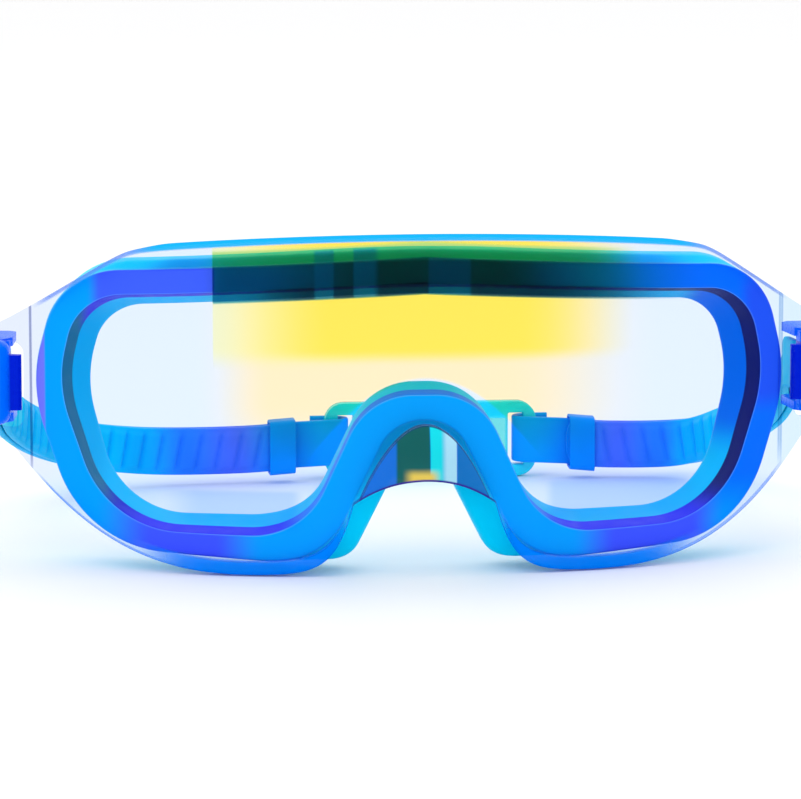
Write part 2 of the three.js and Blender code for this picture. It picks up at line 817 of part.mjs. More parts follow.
// ---------------------------------------------------------------- both sides
const rightClip = {
  clip_body: [placedClip(clipBody()), royalBlue, 0.35],
  release_lever: [placedClip(releaseLever()), royalBlue, 0.35],
  lever_pin: [placedClip(leverPin()), steel, 0.3, 1],
};
for (const [name, [geometry, ...look]] of Object.entries(rightClip)) {
  addPiece(`right_${name}`, geometry, ...look);
  addPiece(`left_${name}`, mirrored(geometry), ...look);
}
for (const [name, side] of [['right', 1], ['left', -1]]) {
  addPiece(`${name}_strap`, strapHalf(side), strapBlue, 0.5);
  addPiece(`${name}_keeper`, keeper(side), strapBlue, 0.5);
}
addPiece('clasp_socket', claspSocket(), aqua, 0.2);
addPiece('clasp_plug', claspPlug(), aqua, 0.2);

// The origin is the middle of the footprint.
const extent = new THREE.Box3().setFromObject(goggles);
goggles.position.set(0, -(extent.min.y + extent.max.y) / 2, -extent.min.z);

export default goggles;
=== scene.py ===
"""Looks of a one-lens swim mask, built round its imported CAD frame.

Sizes are in millimetres until a mesh is made. Shapes are drawn in the mask's own frame, where
the lens touches y = 0 in the middle, and moved along y into the CAD frame as the mesh is made.
"""

from __future__ import annotations

import json
import logging
import math
from collections.abc import Sequence
from dataclasses import dataclass, field
from enum import Enum

import bmesh
import bpy
import numpy as np
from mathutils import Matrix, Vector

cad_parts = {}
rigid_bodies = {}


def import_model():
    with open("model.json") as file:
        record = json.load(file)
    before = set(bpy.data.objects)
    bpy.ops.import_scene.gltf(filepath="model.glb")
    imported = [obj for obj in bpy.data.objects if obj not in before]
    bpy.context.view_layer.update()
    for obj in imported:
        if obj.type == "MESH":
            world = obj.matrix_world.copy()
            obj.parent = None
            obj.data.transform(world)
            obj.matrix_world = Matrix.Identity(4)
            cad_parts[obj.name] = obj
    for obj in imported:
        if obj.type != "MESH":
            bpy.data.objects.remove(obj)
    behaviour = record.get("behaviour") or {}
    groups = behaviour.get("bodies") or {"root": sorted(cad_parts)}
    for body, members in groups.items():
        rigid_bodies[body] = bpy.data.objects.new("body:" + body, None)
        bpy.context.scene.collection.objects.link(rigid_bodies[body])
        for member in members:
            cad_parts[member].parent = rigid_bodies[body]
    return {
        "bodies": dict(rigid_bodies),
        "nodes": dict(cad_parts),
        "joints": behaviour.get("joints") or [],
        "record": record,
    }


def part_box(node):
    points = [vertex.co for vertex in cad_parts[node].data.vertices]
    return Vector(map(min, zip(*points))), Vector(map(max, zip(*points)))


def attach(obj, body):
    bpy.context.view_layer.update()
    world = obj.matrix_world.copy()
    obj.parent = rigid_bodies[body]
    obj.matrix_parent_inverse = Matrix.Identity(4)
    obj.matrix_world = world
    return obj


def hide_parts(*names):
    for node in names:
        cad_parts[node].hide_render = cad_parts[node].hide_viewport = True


Array = np.ndarray
# Red, green and blue in screen steps from 0 to 255.
Colour = tuple[int, int, int]
# A colour as shaders take it: linear red, green, blue and alpha.
Linear = tuple[float, float, float, float]
Triple = tuple[float, float, float]
# Where an eased change begins and ends.
Span = tuple[float, float]
Socket = bpy.types.NodeSocket

MM = 0.001
GAP = 0.3
# Share of the way from one corner to the next that a rounded corner counts for.
ARC_SHARE = 0.2
# The most of an edge that the rounding of one of its corners takes.
EDGE_SHARE = 0.47
# How far a round bar's ends are eased, as a share of its radius.
BAR_EASE = 0.25
# Points nearer to each other than this, in millimetres, become one.
MERGE_DISTANCE = 0.002
# Neighbouring faces that turn by less than this many degrees become one.
FLAT_DEGREES = 0.6
# Edges sharper than this many degrees are rounded.
EDGE_DEGREES = 30.0
# The camera's sensor, in millimetres.
SENSOR_WIDTH = 36.0
# How far the table is under the mask, in metres, so that their faces never meet.
TABLE_DROP = 0.0002

log = logging.getLogger("swim_mask")


class Side(Enum):
    """A side of the mask, as seen from the front."""

    LEFT = -1
    RIGHT = 1

    @property
    def word(self) -> str:
        """The side's name as the CAD nodes write it."""
        return self.name.lower()

    @property
    def body(self) -> str:
        """The CAD body that this side's clip and strap are on."""
        return f"{self.word}_side"

    @property
    def lever_body(self) -> str:
        """The CAD body of this side's release lever."""
        return f"{self.word}_lever"


# ---------------------------------------------------------------- formulas


def smoothstep(low: float, high: float, value: Array) -> Array:
    """Eases from 0 at low to 1 at high: 3 t^2 - 2 t^3 of the share t of the way."""
    share = np.clip((value - low) / (high - low), 0.0, 1.0)
    return share * share * (3.0 - 2.0 * share)


def smooth_min(a: Array, b: Array, blend: float) -> Array:
    """The lesser of a and b with a rounded change-over: (a + b - hypot(a - b, blend)) / 2."""
    return (a + b - np.hypot(a - b, blend)) / 2.0


def smooth_max(a: Array, b: Array, blend: float) -> Array:
    """The greater of a and b with a rounded change-over: the lesser of -a and -b, turned over."""
    return -smooth_min(-np.asarray(a), -np.asarray(b), blend)


def rounded_outline(
    corners: Array, radii: Sequence[float], arc_steps: int, edge_steps: Sequence[int]
) -> tuple[Array, Array]:
    """Rounds the corners of closed outlines and sets points along their edges.

    Each corner becomes a circular arc, written as a rational quadratic curve whose middle weight
    is the sine of half the corner's angle. An arc reaches along an edge by its radius over the
    tangent of that half angle, and never past EDGE_SHARE of the edge.

    Args:
        corners: Corners of one or more outlines, shaped (..., corner, axis).
        radii: A radius for each corner.
        arc_steps: Steps round each corner.
        edge_steps: Steps along the edge that follows each corner.

    Returns:
        The points, shaped (..., point, axis), and each point's place counted in corners.
    """
    ahead = np.roll(corners, -1, axis=-2) - corners
    length = np.maximum(np.linalg.norm(ahead, axis=-1, keepdims=True), 1e-9)
    ahead = ahead / length
    back = -np.roll(ahead, 1, axis=-2)
    cosine = np.clip((ahead * back).sum(axis=-1, keepdims=True), -1.0, 1.0)
    half = np.maximum(np.arccos(cosine) / 2.0, 1e-4)
    room = EDGE_SHARE * np.minimum(length, np.roll(length, 1, axis=-2))
    reach = np.minimum(np.asarray(radii, float)[:, None] / np.tan(half), room)
    reach = np.maximum(reach, 0.0)
    start, end = corners + back * reach, corners + ahead * reach
    turn = np.linspace(0.0, 1.0, arc_steps + 1)
    points, places = [], []
    count = corners.shape[-2]
    for i in range(count):
        t = turn[:, None]
        weight = 2.0 * np.sin(half[..., i, None, :]) * t * (1.0 - t)
        first, last = start[..., i, None, :], end[..., i, None, :]
        arc = first * (1.0 - t) ** 2 + corners[..., i, None, :] * weight + last * t**2
        points.append(arc / ((1.0 - t) ** 2 + weight + t**2))
        places.append(i + (turn - 0.5) * ARC_SHARE)
        share = np.arange(1, edge_steps[i]) / edge_steps[i]
        following = start[..., (i + 1) % count, None, :]
        points.append(last + (following - last) * share[:, None])
        places.append(i + ARC_SHARE / 2.0 + (1.0 - ARC_SHARE) * share)
    return np.concatenate(points, axis=-2), np.concatenate(places)


def rounded_rectangle(low: Sequence[float], high: Sequence[float], radius: float) -> Array:
    """Points round a rectangle with equal round corners, from its lowest corner."""
    corners = np.array([low, (high[0], low[1]), high, (low[0], high[1])], float)
    return rounded_outline(corners, [radius] * 4, 6, [2] * 4)[0]


# ---------------------------------------------------------------- meshes


@dataclass
class Solid:
    """A closed surface: points in millimetres, faces as index arrays, and numbers per point."""

    points: Array
    faces: list[Array]
    marks: dict[str, Array] = field(default_factory=dict)

    def volume(self) -> float:
        """Six times the enclosed volume, negative where the faces point in."""
        total = 0.0
        for faces in self.faces:
            first = self.points[faces[:, 0]]
            for k in range(1, faces.shape[1] - 1):
                a, b = self.points[faces[:, k]], self.points[faces[:, k + 1]]
                total += float((first * np.cross(a, b)).sum())
        return total


def lofted(sections: Array, closed: bool = False, marks: dict[str, Array] | None = None) -> Solid:
    """Joins a row of closed sections into one solid.

    The faces are the quads between neighbouring sections. An open row gets an end at each side, a
    fan of triangles from the middle of its section.

    Args:
        sections: Points, shaped (section, point, 3).
        closed: Whether the last section joins the first.
        marks: Numbers per point, shaped (section, point).

    Returns:
        The solid.
    """
    rows, columns, _ = sections.shape
    row = np.arange(rows if closed else rows - 1)[:, None]
    column = np.arange(columns)[None, :]
    next_row, next_column = (row + 1) % rows, (column + 1) % columns
    ring = (row * columns, next_row * columns)
    quads = np.stack(
        [ring[0] + column, ring[1] + column, ring[1] + next_column, ring[0] + next_column], axis=-1
    )
    points, faces = sections.reshape(-1, 3), [quads.reshape(-1, 4)]
    flat = {name: np.asarray(mark, float).reshape(-1) for name, mark in (marks or {}).items()}
    if not closed:
        ends = sections[[0, -1]]
        points = np.vstack([points, ends.mean(axis=1)])
        middle, here = rows * columns, column[0]
        there, last = next_column[0], (rows - 1) * columns
        faces.append(np.stack([np.full(columns, middle), here, there], axis=-1))
        faces.append(np.stack([np.full(columns, middle + 1), last + there, last + here], axis=-1))
        for name, mark in (marks or {}).items():
            flat[name] = np.concatenate([flat[name], np.asarray(mark)[[0, -1]].mean(axis=1)])
    return Solid(points, faces, flat)


def upright_bar(x: float, y: float, low: float, high: float, radius: float) -> Solid:
    """A round bar standing upright, with its ends eased by a quarter circle.

    Args:
        x: Place of its axis across the mask.
        y: Place of its axis along the mask.
        low: Height of its lower end.
        high: Height of its upper end.
        radius: Radius.

    Returns:
        The solid.
    """
    ease = radius * BAR_EASE
    turn = np.linspace(0.0, np.pi / 2.0, 5)
    lower = low + ease * (1.0 - np.sin(turn[::-1]))
    upper = high - ease * (1.0 - np.sin(turn))
    heights = np.concatenate([lower, upper])
    radii = radius - ease * (1.0 - np.cos(np.concatenate([turn[::-1], turn])))
    round_turn = np.linspace(0.0, 2.0 * np.pi, 48, endpoint=False)
    sections = np.empty((len(heights), len(round_turn), 3))
    sections[..., 0] = x + radii[:, None] * np.cos(round_turn)
    sections[..., 1] = y + radii[:, None] * np.sin(round_turn)
    sections[..., 2] = heights[:, None]
    return lofted(sections)


def make_mesh(name: str, solid: Solid, shift_y: float) -> bpy.types.Mesh:
    """Puts a solid into a mesh, in metres, with its faces pointing out.

    Args:
        name: The mesh's name.
        solid: The solid, in the mask's own frame.
        shift_y: How far the CAD frame's y is from the mask's own, in millimetres.

    Returns:
        The mesh.
    """
    mesh = bpy.data.meshes.new(name)
    points = solid.points + np.array([0.0, shift_y, 0.0])
    turned = solid.volume() < 0.0
    faces = [each[:, ::-1] if turned else each for each in solid.faces]
    corners = np.concatenate([each.reshape(-1) for each in faces])
    totals = np.concatenate([np.full(len(each), each.shape[1]) for each in faces])
    mesh.vertices.add(len(points))
    mesh.vertices.foreach_set("co", (points * MM).astype(np.float32).ravel())
    mesh.loops.add(len(corners))
    mesh.loops.foreach_set("vertex_index", corners.astype(np.int32))
    mesh.polygons.add(len(totals))
    mesh.polygons.foreach_set("loop_start", (np.cumsum(totals) - totals).astype(np.int32))
    mesh.polygons.foreach_set("loop_total", totals.astype(np.int32))
    mesh.update(calc_edges=True)
    mesh.validate()
    for mark, values in solid.marks.items():
        attribute = mesh.attributes.new(mark, "FLOAT", "POINT")
        attribute.data.foreach_set("value", values.astype(np.float32))
    return mesh


def smooth_shading(mesh: bpy.types.Mesh, crease_degrees: float = 40.0) -> None:
    """Shades a mesh smooth, apart from edges sharper than an angle."""
    mesh.polygons.foreach_set("use_smooth", np.ones(len(mesh.polygons), bool))
    mesh.set_sharp_from_angle(angle=math.radians(crease_degrees))


def make_object(name: str, mesh: bpy.types.Mesh) -> bpy.types.Object:
    """A new object at the origin that shows a mesh."""
    piece = bpy.data.objects.new(name, mesh)
    bpy.context.scene.collection.objects.link(piece)
    return piece


def carved(
    mesh: bpy.types.Mesh, cuts: Sequence[bpy.types.Mesh], adds: Sequence[bpy.types.Mesh]
) -> bpy.types.Mesh:
    """Cuts closed meshes out of a closed mesh, then joins others to it.

    Args:
        mesh: The mesh to start from.
        cuts: Meshes whose space is taken away.
        adds: Meshes that become part of it.

    Returns:
        The new mesh.
    """
    piece = make_object(f"{mesh.name}_carving", mesh)
    tools = []
    for operation, group in (("DIFFERENCE", cuts), ("UNION", adds)):
        for other in group:
            tool = make_object(f"{other.name}_tool", other)
            modifier = piece.modifiers.new(other.name, "BOOLEAN")
            modifier.operation, modifier.solver, modifier.object = operation, "MANIFOLD", tool
            tools.append(tool)
    bpy.context.view_layer.update()
    depsgraph = bpy.context.evaluated_depsgraph_get()
    result = bpy.data.meshes.new_from_object(piece.evaluated_get(depsgraph))
    for leftover in (piece, *tools):
        bpy.data.objects.remove(leftover)
    return result


def softened(node: bpy.types.Object, name: str, width: float) -> bpy.types.Object:
    """A copy of a CAD solid with its edges rounded.

    Loose triangles are merged, flat areas become single faces again, and a bevel rounds each edge
    sharper than EDGE_DEGREES.

    Args:
        node: The CAD node's object.
        name: The new piece's name.
        width: How far the rounding reaches from an edge, in millimetres.

    Returns:
        The new piece.
    """
    mesh = bpy.data.meshes.new(name)
    shape = bmesh.new()
    shape.from_mesh(node.data)
    bmesh.ops.remove_doubles(shape, verts=shape.verts, dist=MERGE_DISTANCE * MM)
    bmesh.ops.dissolve_limit(
        shape, angle_limit=math.radians(FLAT_DEGREES), verts=shape.verts, edges=shape.edges
    )
    shape.to_mesh(mesh)
    shape.free()
    mesh.polygons.foreach_set("use_smooth", np.ones(len(mesh.polygons), bool))
    piece = make_object(name, mesh)
    bevel = piece.modifiers.new("edges", "BEVEL")
    bevel.width, bevel.segments, bevel.limit_method = width * MM, 3, "ANGLE"
    bevel.angle_limit, bevel.harden_normals = math.radians(EDGE_DEGREES), True
    return piece


# ---------------------------------------------------------------- finishes


def shade(red: int, green: int, blue: int) -> Linear:
    """A colour given in screen steps from 0 to 255, as the linear values that shaders take."""
    steps = np.array([red, green, blue], float) / 255.0
    linear = np.where(steps <= 0.04045, steps / 12.92, ((steps + 0.055) / 1.055) ** 2.4)
    return (*(float(value) for value in linear), 1.0)


def one_layer(colour: Colour, layers: int) -> Linear:
    """The tint of one surface out of a row of equal ones that together give the colour."""
    return tuple(value ** (1.0 / layers) for value in shade(*colour))


@dataclass(frozen=True)
class Patch:
    """A soft-edged rectangle of the mirror coat, and the colour that shows in it.

    The four softnesses are the widths over which its left, right, lower and upper edges fade.
    Its lower and upper edges fall by the lean for each millimetre away from the middle.
    """

    left: float
    right: float
    low: float
    high: float
    colour: Colour
    soft: tuple[float, float, float, float] = (4.0, 4.0, 4.0, 4.0)
    strength: float = 1.0
    lean: float = 0.0


class Recipe:
    """A material that is being put together from nodes."""

    def __init__(self, name: str) -> None:
        """Starts an empty material.

        Args:
            name: The material's name.
        """
        self.material = bpy.data.materials.new(name)
        self.material.use_nodes = True
        self.tree = self.material.node_tree
        self.tree.nodes.clear()
        self._axes: tuple[Socket, Socket, Socket] | None = None

    def node(self, kind: str, **settings: object) -> bpy.types.Node:
        """Adds a node and sets its own properties."""
        made = self.tree.nodes.new(kind)
        for name, value in settings.items():
            setattr(made, name, value)
        return made

    def feed(self, socket: Socket, value: object) -> None:
        """Links a socket to another one, or sets it to a plain value."""
        if isinstance(value, bpy.types.NodeSocket):
            self.tree.links.new(value, socket)
        else:
            socket.default_value = value

    def math(self, operation: str, first: object, second: object = 0.0) -> Socket:
        """The result of a sum on one or two values."""
        made = self.node("ShaderNodeMath", operation=operation)
        self.feed(made.inputs[0], first)
        self.feed(made.inputs[1], second)
        return made.outputs[0]

    def position(self) -> Socket:
        """The point on the piece, in metres."""
        return self.node("ShaderNodeTexCoord").outputs["Object"]

    def axes(self) -> tuple[Socket, Socket, Socket]:
        """The point on the piece as x, y and z, in millimetres."""
        if self._axes is None:
            split = self.node("ShaderNodeSeparateXYZ")
            self.feed(split.inputs[0], self.position())
            self._axes = tuple(self.math("MULTIPLY", out, 1.0 / MM) for out in split.outputs)
        return self._axes

    def mark(self, name: str) -> Socket:
        """A number that the mesh holds at each point."""
        return self.node("ShaderNodeAttribute", attribute_name=name).outputs["Fac"]

    def ease(
        self, value: Socket, low: float, high: float, start: float = 0.0, end: float = 1.0
    ) -> Socket:
        """Eases from start, where value is low, to end, where it is high."""
        made = self.node("ShaderNodeMapRange", interpolation_type="SMOOTHSTEP")
        for socket, number in zip(made.inputs[:5], (value, low, high, start, end)):
            self.feed(socket, number)
        return made.outputs[0]

    def within(self, patch: Patch) -> Socket:
        """How far a point is inside a patch, from 0 to the patch's strength."""
        x, _, z = self.axes()
        if patch.lean:
            z = self.math("ADD", z, self.math("MULTIPLY", self.math("ABSOLUTE", x), patch.lean))
        left, right, low, high = patch.soft
        edges = (
            self.ease(x, patch.left - left, patch.left),
            self.ease(x, patch.right, patch.right + right, 1.0, 0.0),
            self.ease(z, patch.low - low, patch.low),
            self.ease(z, patch.high, patch.high + high, patch.strength, 0.0),
        )
        share = edges[0]
        for edge in edges[1:]:
            share = self.math("MULTIPLY", share, edge)
        return share

    def mix(self, share: object, first: object, second: object) -> Socket:
        """A colour that goes from first to second as share goes from 0 to 1."""
        made = self.node("ShaderNodeMix", data_type="RGBA")
        self.feed(made.inputs[0], share)
        self.feed(made.inputs[6], first)
        self.feed(made.inputs[7], second)
        return made.outputs[2]

    def patched(self, ground: object, patches: Sequence[Patch], layers: int = 1) -> Socket:
        """A ground colour with patches laid over it in order.

        Args:
            ground: The colour under the patches.
            patches: The patches.
            layers: How many surfaces the light passes, for tints given as seen through all.

        Returns:
            The colour.
        """
        colour = ground
        for patch in patches:
            colour = self.mix(self.within(patch), colour, one_layer(patch.colour, layers))
        return colour

    def ramp(self, value: Socket, stops: Sequence[tuple[float, Colour]]) -> Socket:
        """A colour read from stops along 0 to 1."""
        made = self.node("ShaderNodeValToRGB")
        band = made.color_ramp
        band.interpolation = "EASE"
        while len(band.elements) < len(stops):
            band.elements.new(0.5)
        for element, (place, colour) in zip(band.elements, stops):
            element.position, element.color = place, shade(*colour)
        self.feed(made.inputs[0], value)
        return made.outputs[0]

    def noise(self, grain: float, detail: float = 3.0, stretch: Triple = (1.0, 1.0, 1.0)) -> Socket:
        """Cloudy noise around 0.5 with features of about the grain's size, in millimetres."""
        place = self.node("ShaderNodeMapping")
        self.feed(place.inputs["Vector"], self.position())
        place.inputs["Scale"].default_value = stretch
        made = self.node("ShaderNodeTexNoise")
        made.inputs["Scale"].default_value = 1.0 / (grain * MM)
        made.inputs["Detail"].default_value = detail
        self.feed(made.inputs["Vector"], place.outputs[0])
        return made.outputs["Fac"]

    def varied(self, colour: object, grain: float, amount: float) -> Socket:
        """A colour that gets lighter and darker by an amount, in clouds of the grain's size."""
        level = self.ease(self.noise(grain), 0.3, 0.7, 1.0 - amount, 1.0 + amount)
        made = self.node("ShaderNodeHueSaturation")
        self.feed(made.inputs["Value"], level)
        self.feed(made.inputs["Color"], colour)
        return made.outputs[0]

    def bump(self, height: Socket, depth: float, strength: float) -> Socket:
        """A surface direction bent by a height, whose full depth is in millimetres."""
        made = self.node("ShaderNodeBump")
        made.inputs["Strength"].default_value = strength
        made.inputs["Distance"].default_value = depth * MM
        self.feed(made.inputs["Height"], height)
        return made.outputs[0]

    def principled(self, **values: object) -> Socket:
        """A Principled shader. Each value names its socket with _ for a space."""
        made = self.node("ShaderNodeBsdfPrincipled")
        for name, value in values.items():
            self.feed(made.inputs[name.replace("_", " ")], value)
        return made.outputs[0]

    def see_through(self, colour: object, solid: Socket, share: object) -> Socket:
        """A shader that lets straight light through in a colour, and shows solid by a share."""
        clear = self.node("ShaderNodeBsdfTransparent")
        self.feed(clear.inputs[0], colour)
        made = self.node("ShaderNodeMixShader")
        self.feed(made.inputs[0], share)
        self.feed(made.inputs[1], clear.outputs[0])
        self.feed(made.inputs[2], solid)
        return made.outputs[0]

    def done(self, surface: Socket) -> bpy.types.Material:
        """Links the surface to the output and returns the material."""
        output = self.node("ShaderNodeOutputMaterial")
        self.feed(output.inputs["Surface"], surface)
        return self.material


@dataclass(frozen=True)
class CoatedClear:
    """Clear polycarbonate with a mirror coat whose reflections, pale blue to yellow, are painted
    on.

    The tints are the colours seen through the whole wall, which has two surfaces.
    """

    clear: Colour = (220, 233, 253)
    mirror: Colour = (150, 185, 255)
    # Painted reflections: the blues that the clear rims show of the silicone, along the top, on the
    # shoulders and along the foot.
    rim: Colour = (0, 172, 245)
    shoulder: Colour = (96, 140, 232)
    foot: Colour = (0, 132, 250)
    # Painted shade: a dark line where the ring's arch meets the top of the web.
    arch_line: Colour = (0, 62, 104)
    # Ground of the web's painted reflections.
    web: Colour = (10, 110, 218)
    web_foot: Colour = (52, 28, 150)
    facing_mirror: float = 0.006
    grazing_mirror: float = 0.6
    surfaces: int = 2
    web_half: Span = (14.3, 14.7)
    ring_half: Span = (24.0, 27.0)
    shoulder_reach: Span = (52.0, 62.0)
    ear_reach: Span = (74.0, 78.0)
    lobe_start: Span = (15.0, 19.0)
    lobe_end: Span = (44.0, 60.0)
    rim_height: Span = (0.55, 1.0)
    rim_cover: float = 0.97
    shoulder_rim: float = 0.55
    band_height: Span = (2.4, 3.2)
    band_cover: float = 0.8
    line_height: Span = (0.25, 0.6)
    line_cover: float = 0.5
    arch_height: Span = (-0.3, -0.05)
    web_edge: Span = (0.0, 0.25)
    ring_edge: Span = (-0.4, 0.4)
    arch_cover: float = 0.86
    web_foot_height: Span = (0.35, 0.7)
    # Painted reflections of the mirror coat, fixed on the shell: pale at the wings, peach and
    # yellow in the middle.
    gold: tuple[Patch, ...] = (
        Patch(-95.0, -80.0, 20.0, 70.0, (222, 230, 252), (1.0, 10.0, 4.0, 4.0)),
        Patch(80.0, 95.0, 20.0, 70.0, (212, 232, 252), (10.0, 1.0, 4.0, 4.0)),
        Patch(-78.3, -78.0, 24.0, 52.0, (112, 124, 170), (0.2, 0.2, 8.0, 4.0), 0.7),
        Patch(76.2, 76.5, 24.0, 54.0, (80, 130, 190), (0.2, 0.2, 8.0, 4.0), 0.7),
        Patch(-30.0, 16.0, 35.0, 80.0, (251, 231, 186), (16.0, 34.0, 16.0, 2.0), 0.92),
        Patch(-41.9, -20.0, 46.0, 80.0, (242, 240, 150), (0.3, 12.0, 5.0, 2.0), 0.5),
        # Painted shadow: the strap's pale blue shadow on the floor, seen through the lower lens.
        Patch(-44.0, -19.0, 11.4, 16.4, (180, 210, 255), (9.0, 3.0, 3.0, 1.2), 0.8),
        Patch(25.0, 50.0, 12.0, 17.6, (180, 210, 255), (4.0, 10.0, 3.0, 2.0), 0.8),
        Patch(-18.0, 18.0, 46.0, 80.0, (255, 226, 88), (22.0, 28.0, 3.6, 2.0)),
        # Painted reflection and shade: dark teal and green coat colours over the bonding ring along
        # the top.
        Patch(-41.9, 30.0, 64.1, 67.0, (170, 214, 128), (0.3, 16.0, 0.4, 0.6), 0.9, 0.05),
        Patch(-41.9, 22.0, 57.2, 64.1, (52, 142, 158), (0.3, 40.0, 0.4, 0.3), 1.0, 0.05),
        Patch(-8.0, 14.0, 57.2, 64.1, (44, 116, 96), (26.0, 18.0, 0.4, 0.3), 1.0, 0.05),
        Patch(-22.0, 22.0, 57.2, 59.2, (34, 58, 68), (16.0, 30.0, 0.3, 0.2), 0.85, 0.05),
        Patch(-21.6, -18.4, 57.2, 66.4, (60, 150, 166), (0.8, 0.5, 0.4, 0.6), 0.6, 0.05),
        Patch(-14.0, -10.4, 57.2, 66.4, (60, 150, 166), (0.5, 1.6, 0.4, 0.6), 0.6, 0.05),
        Patch(1.0, 9.0, 57.2, 64.1, (40, 132, 150), (0.6, 0.6, 0.4, 0.3), 0.6, 0.05),
    )
    # Painted reflections in the mirrored web over the nose: dark green, cyan, a pale highlight
    # band, blue and a yellow glint.
    bridge: tuple[Patch, ...] = (
        Patch(-5.6, 0.5, 10.0, 40.0, (0, 92, 88), (0.7, 0.3, 1.0, 1.0)),
        Patch(0.9, 2.6, 10.0, 40.0, (0, 222, 232), (0.3, 2.4, 1.0, 1.0)),
        Patch(4.2, 6.0, 10.0, 40.0, (170, 224, 244), (1.4, 0.3, 1.0, 1.0)),
        Patch(6.4, 20.0, 10.0, 40.0, (0, 112, 192), (0.3, 1.0, 1.0, 1.0)),
        Patch(-2.4, 0.6, 18.0, 20.6, (236, 205, 84), (2.6, 2.8, 0.6, 1.9)),
    )

    def material(self, form: MaskForm) -> bpy.types.Material:
        """Builds the material. The marks "from_top" and "from_low" are heights to the edges.

        The wall is see-through in the coat's tint, which carries painted reflections and a painted
        shadow. Over it lie painted parts:
        the upper rim, the band and the thin line along the lower rim, all painted reflections of
        the blue silicone, and the nose web, with painted reflections, a painted shade line along
        its top and a dark line along its foot.

        Args:
            form: The mask's shared formulas, for where the nose arch is.

        Returns:
            The material.
        """
        recipe = Recipe("coated_clear")
        x, _, z = recipe.axes()
        square, reach = recipe.math("MULTIPLY", x, x), recipe.math("ABSOLUTE", x)
        from_top, from_low = recipe.mark("from_top"), recipe.mark("from_low")
        in_web = recipe.ease(reach, *self.web_half, 1.0, 0.0)
        before_ear = recipe.ease(reach, *self.ear_reach, 1.0, 0.0)
        outward = recipe.ease(reach, *self.shoulder_reach)

        ring_fall = recipe.math("MULTIPLY", square, form.ring_fall)
        ring_top = recipe.math("SUBTRACT", form.ring_arch, ring_fall)
        under = recipe.ease(recipe.math("SUBTRACT", ring_top, z), *self.ring_edge)
        on_ring = recipe.math("MULTIPLY", under, recipe.ease(reach, *self.ring_half, 1.0, 0.0))
        clear = one_layer(self.clear, self.surfaces)
        tint = recipe.mix(on_ring, recipe.patched(clear, self.gold, self.surfaces), clear)

        fall = recipe.math("MULTIPLY", square, form.web_fall)
        below = recipe.math("SUBTRACT", recipe.math("SUBTRACT", form.web_top, fall), z)
        web = recipe.math("MULTIPLY", recipe.ease(below, *self.web_edge), in_web)
        arch = recipe.math("MULTIPLY", recipe.ease(below, *self.arch_height), in_web)
        web_foot = recipe.ease(from_low, *self.web_foot_height, 1.0, 0.0)
        web_foot = recipe.math("MULTIPLY", web_foot, in_web)

        rim = recipe.ease(from_top, *self.rim_height, self.rim_cover, 0.0)
        fainter = recipe.ease(outward, 0.0, 1.0, 1.0, self.shoulder_rim)
        rim = recipe.math("MULTIPLY", recipe.math("MULTIPLY", rim, fainter), before_ear)
        band = recipe.ease(from_low, *self.band_height, self.band_cover, 0.0)
        band = recipe.math("MULTIPLY", band, recipe.ease(reach, *self.lobe_end, 1.0, 0.0))
        band = recipe.math("MULTIPLY", band, recipe.ease(reach, *self.lobe_start))
        line = recipe.ease(from_low, *self.line_height, self.line_cover, 0.0)
        foot = recipe.math("MAXIMUM", band, recipe.math("MULTIPLY", line, before_ear))

        # Painted reflections and shade laid over the mirror colour: rims, web and the web's lines.
        painted = recipe.mix(rim, shade(*self.mirror), shade(*self.rim))
        painted = recipe.mix(outward, painted, shade(*self.shoulder))
        painted = recipe.mix(recipe.ease(foot, 0.0, 0.2), painted, shade(*self.foot))
        painted = recipe.mix(arch, painted, shade(*self.arch_line))
        painted = recipe.mix(web, painted, recipe.patched(shade(*self.web), self.bridge))
        painted = recipe.mix(web_foot, painted, shade(*self.web_foot))

        weight = recipe.node("ShaderNodeLayerWeight")
        weight.inputs["Blend"].default_value = 0.2
        mirror = (self.facing_mirror, self.grazing_mirror)
        cover = recipe.ease(weight.outputs["Facing"], 0.45, 1.0, *mirror)
        for share in (rim, foot, recipe.math("MULTIPLY", arch, self.arch_cover)):
            cover = recipe.math("MAXIMUM", cover, share)
        solid = recipe.principled(
            Base_Color=painted,
            Roughness=recipe.ease(recipe.noise(9.0), 0.2, 0.8, 0.02, 0.06),
            Specular_IOR_Level=recipe.ease(recipe.math("MAXIMUM", rim, foot), 0.1, 0.6, 0.12, 0.0),
            IOR=1.58,
        )
        return recipe.done(recipe.see_through(tint, solid, cover))


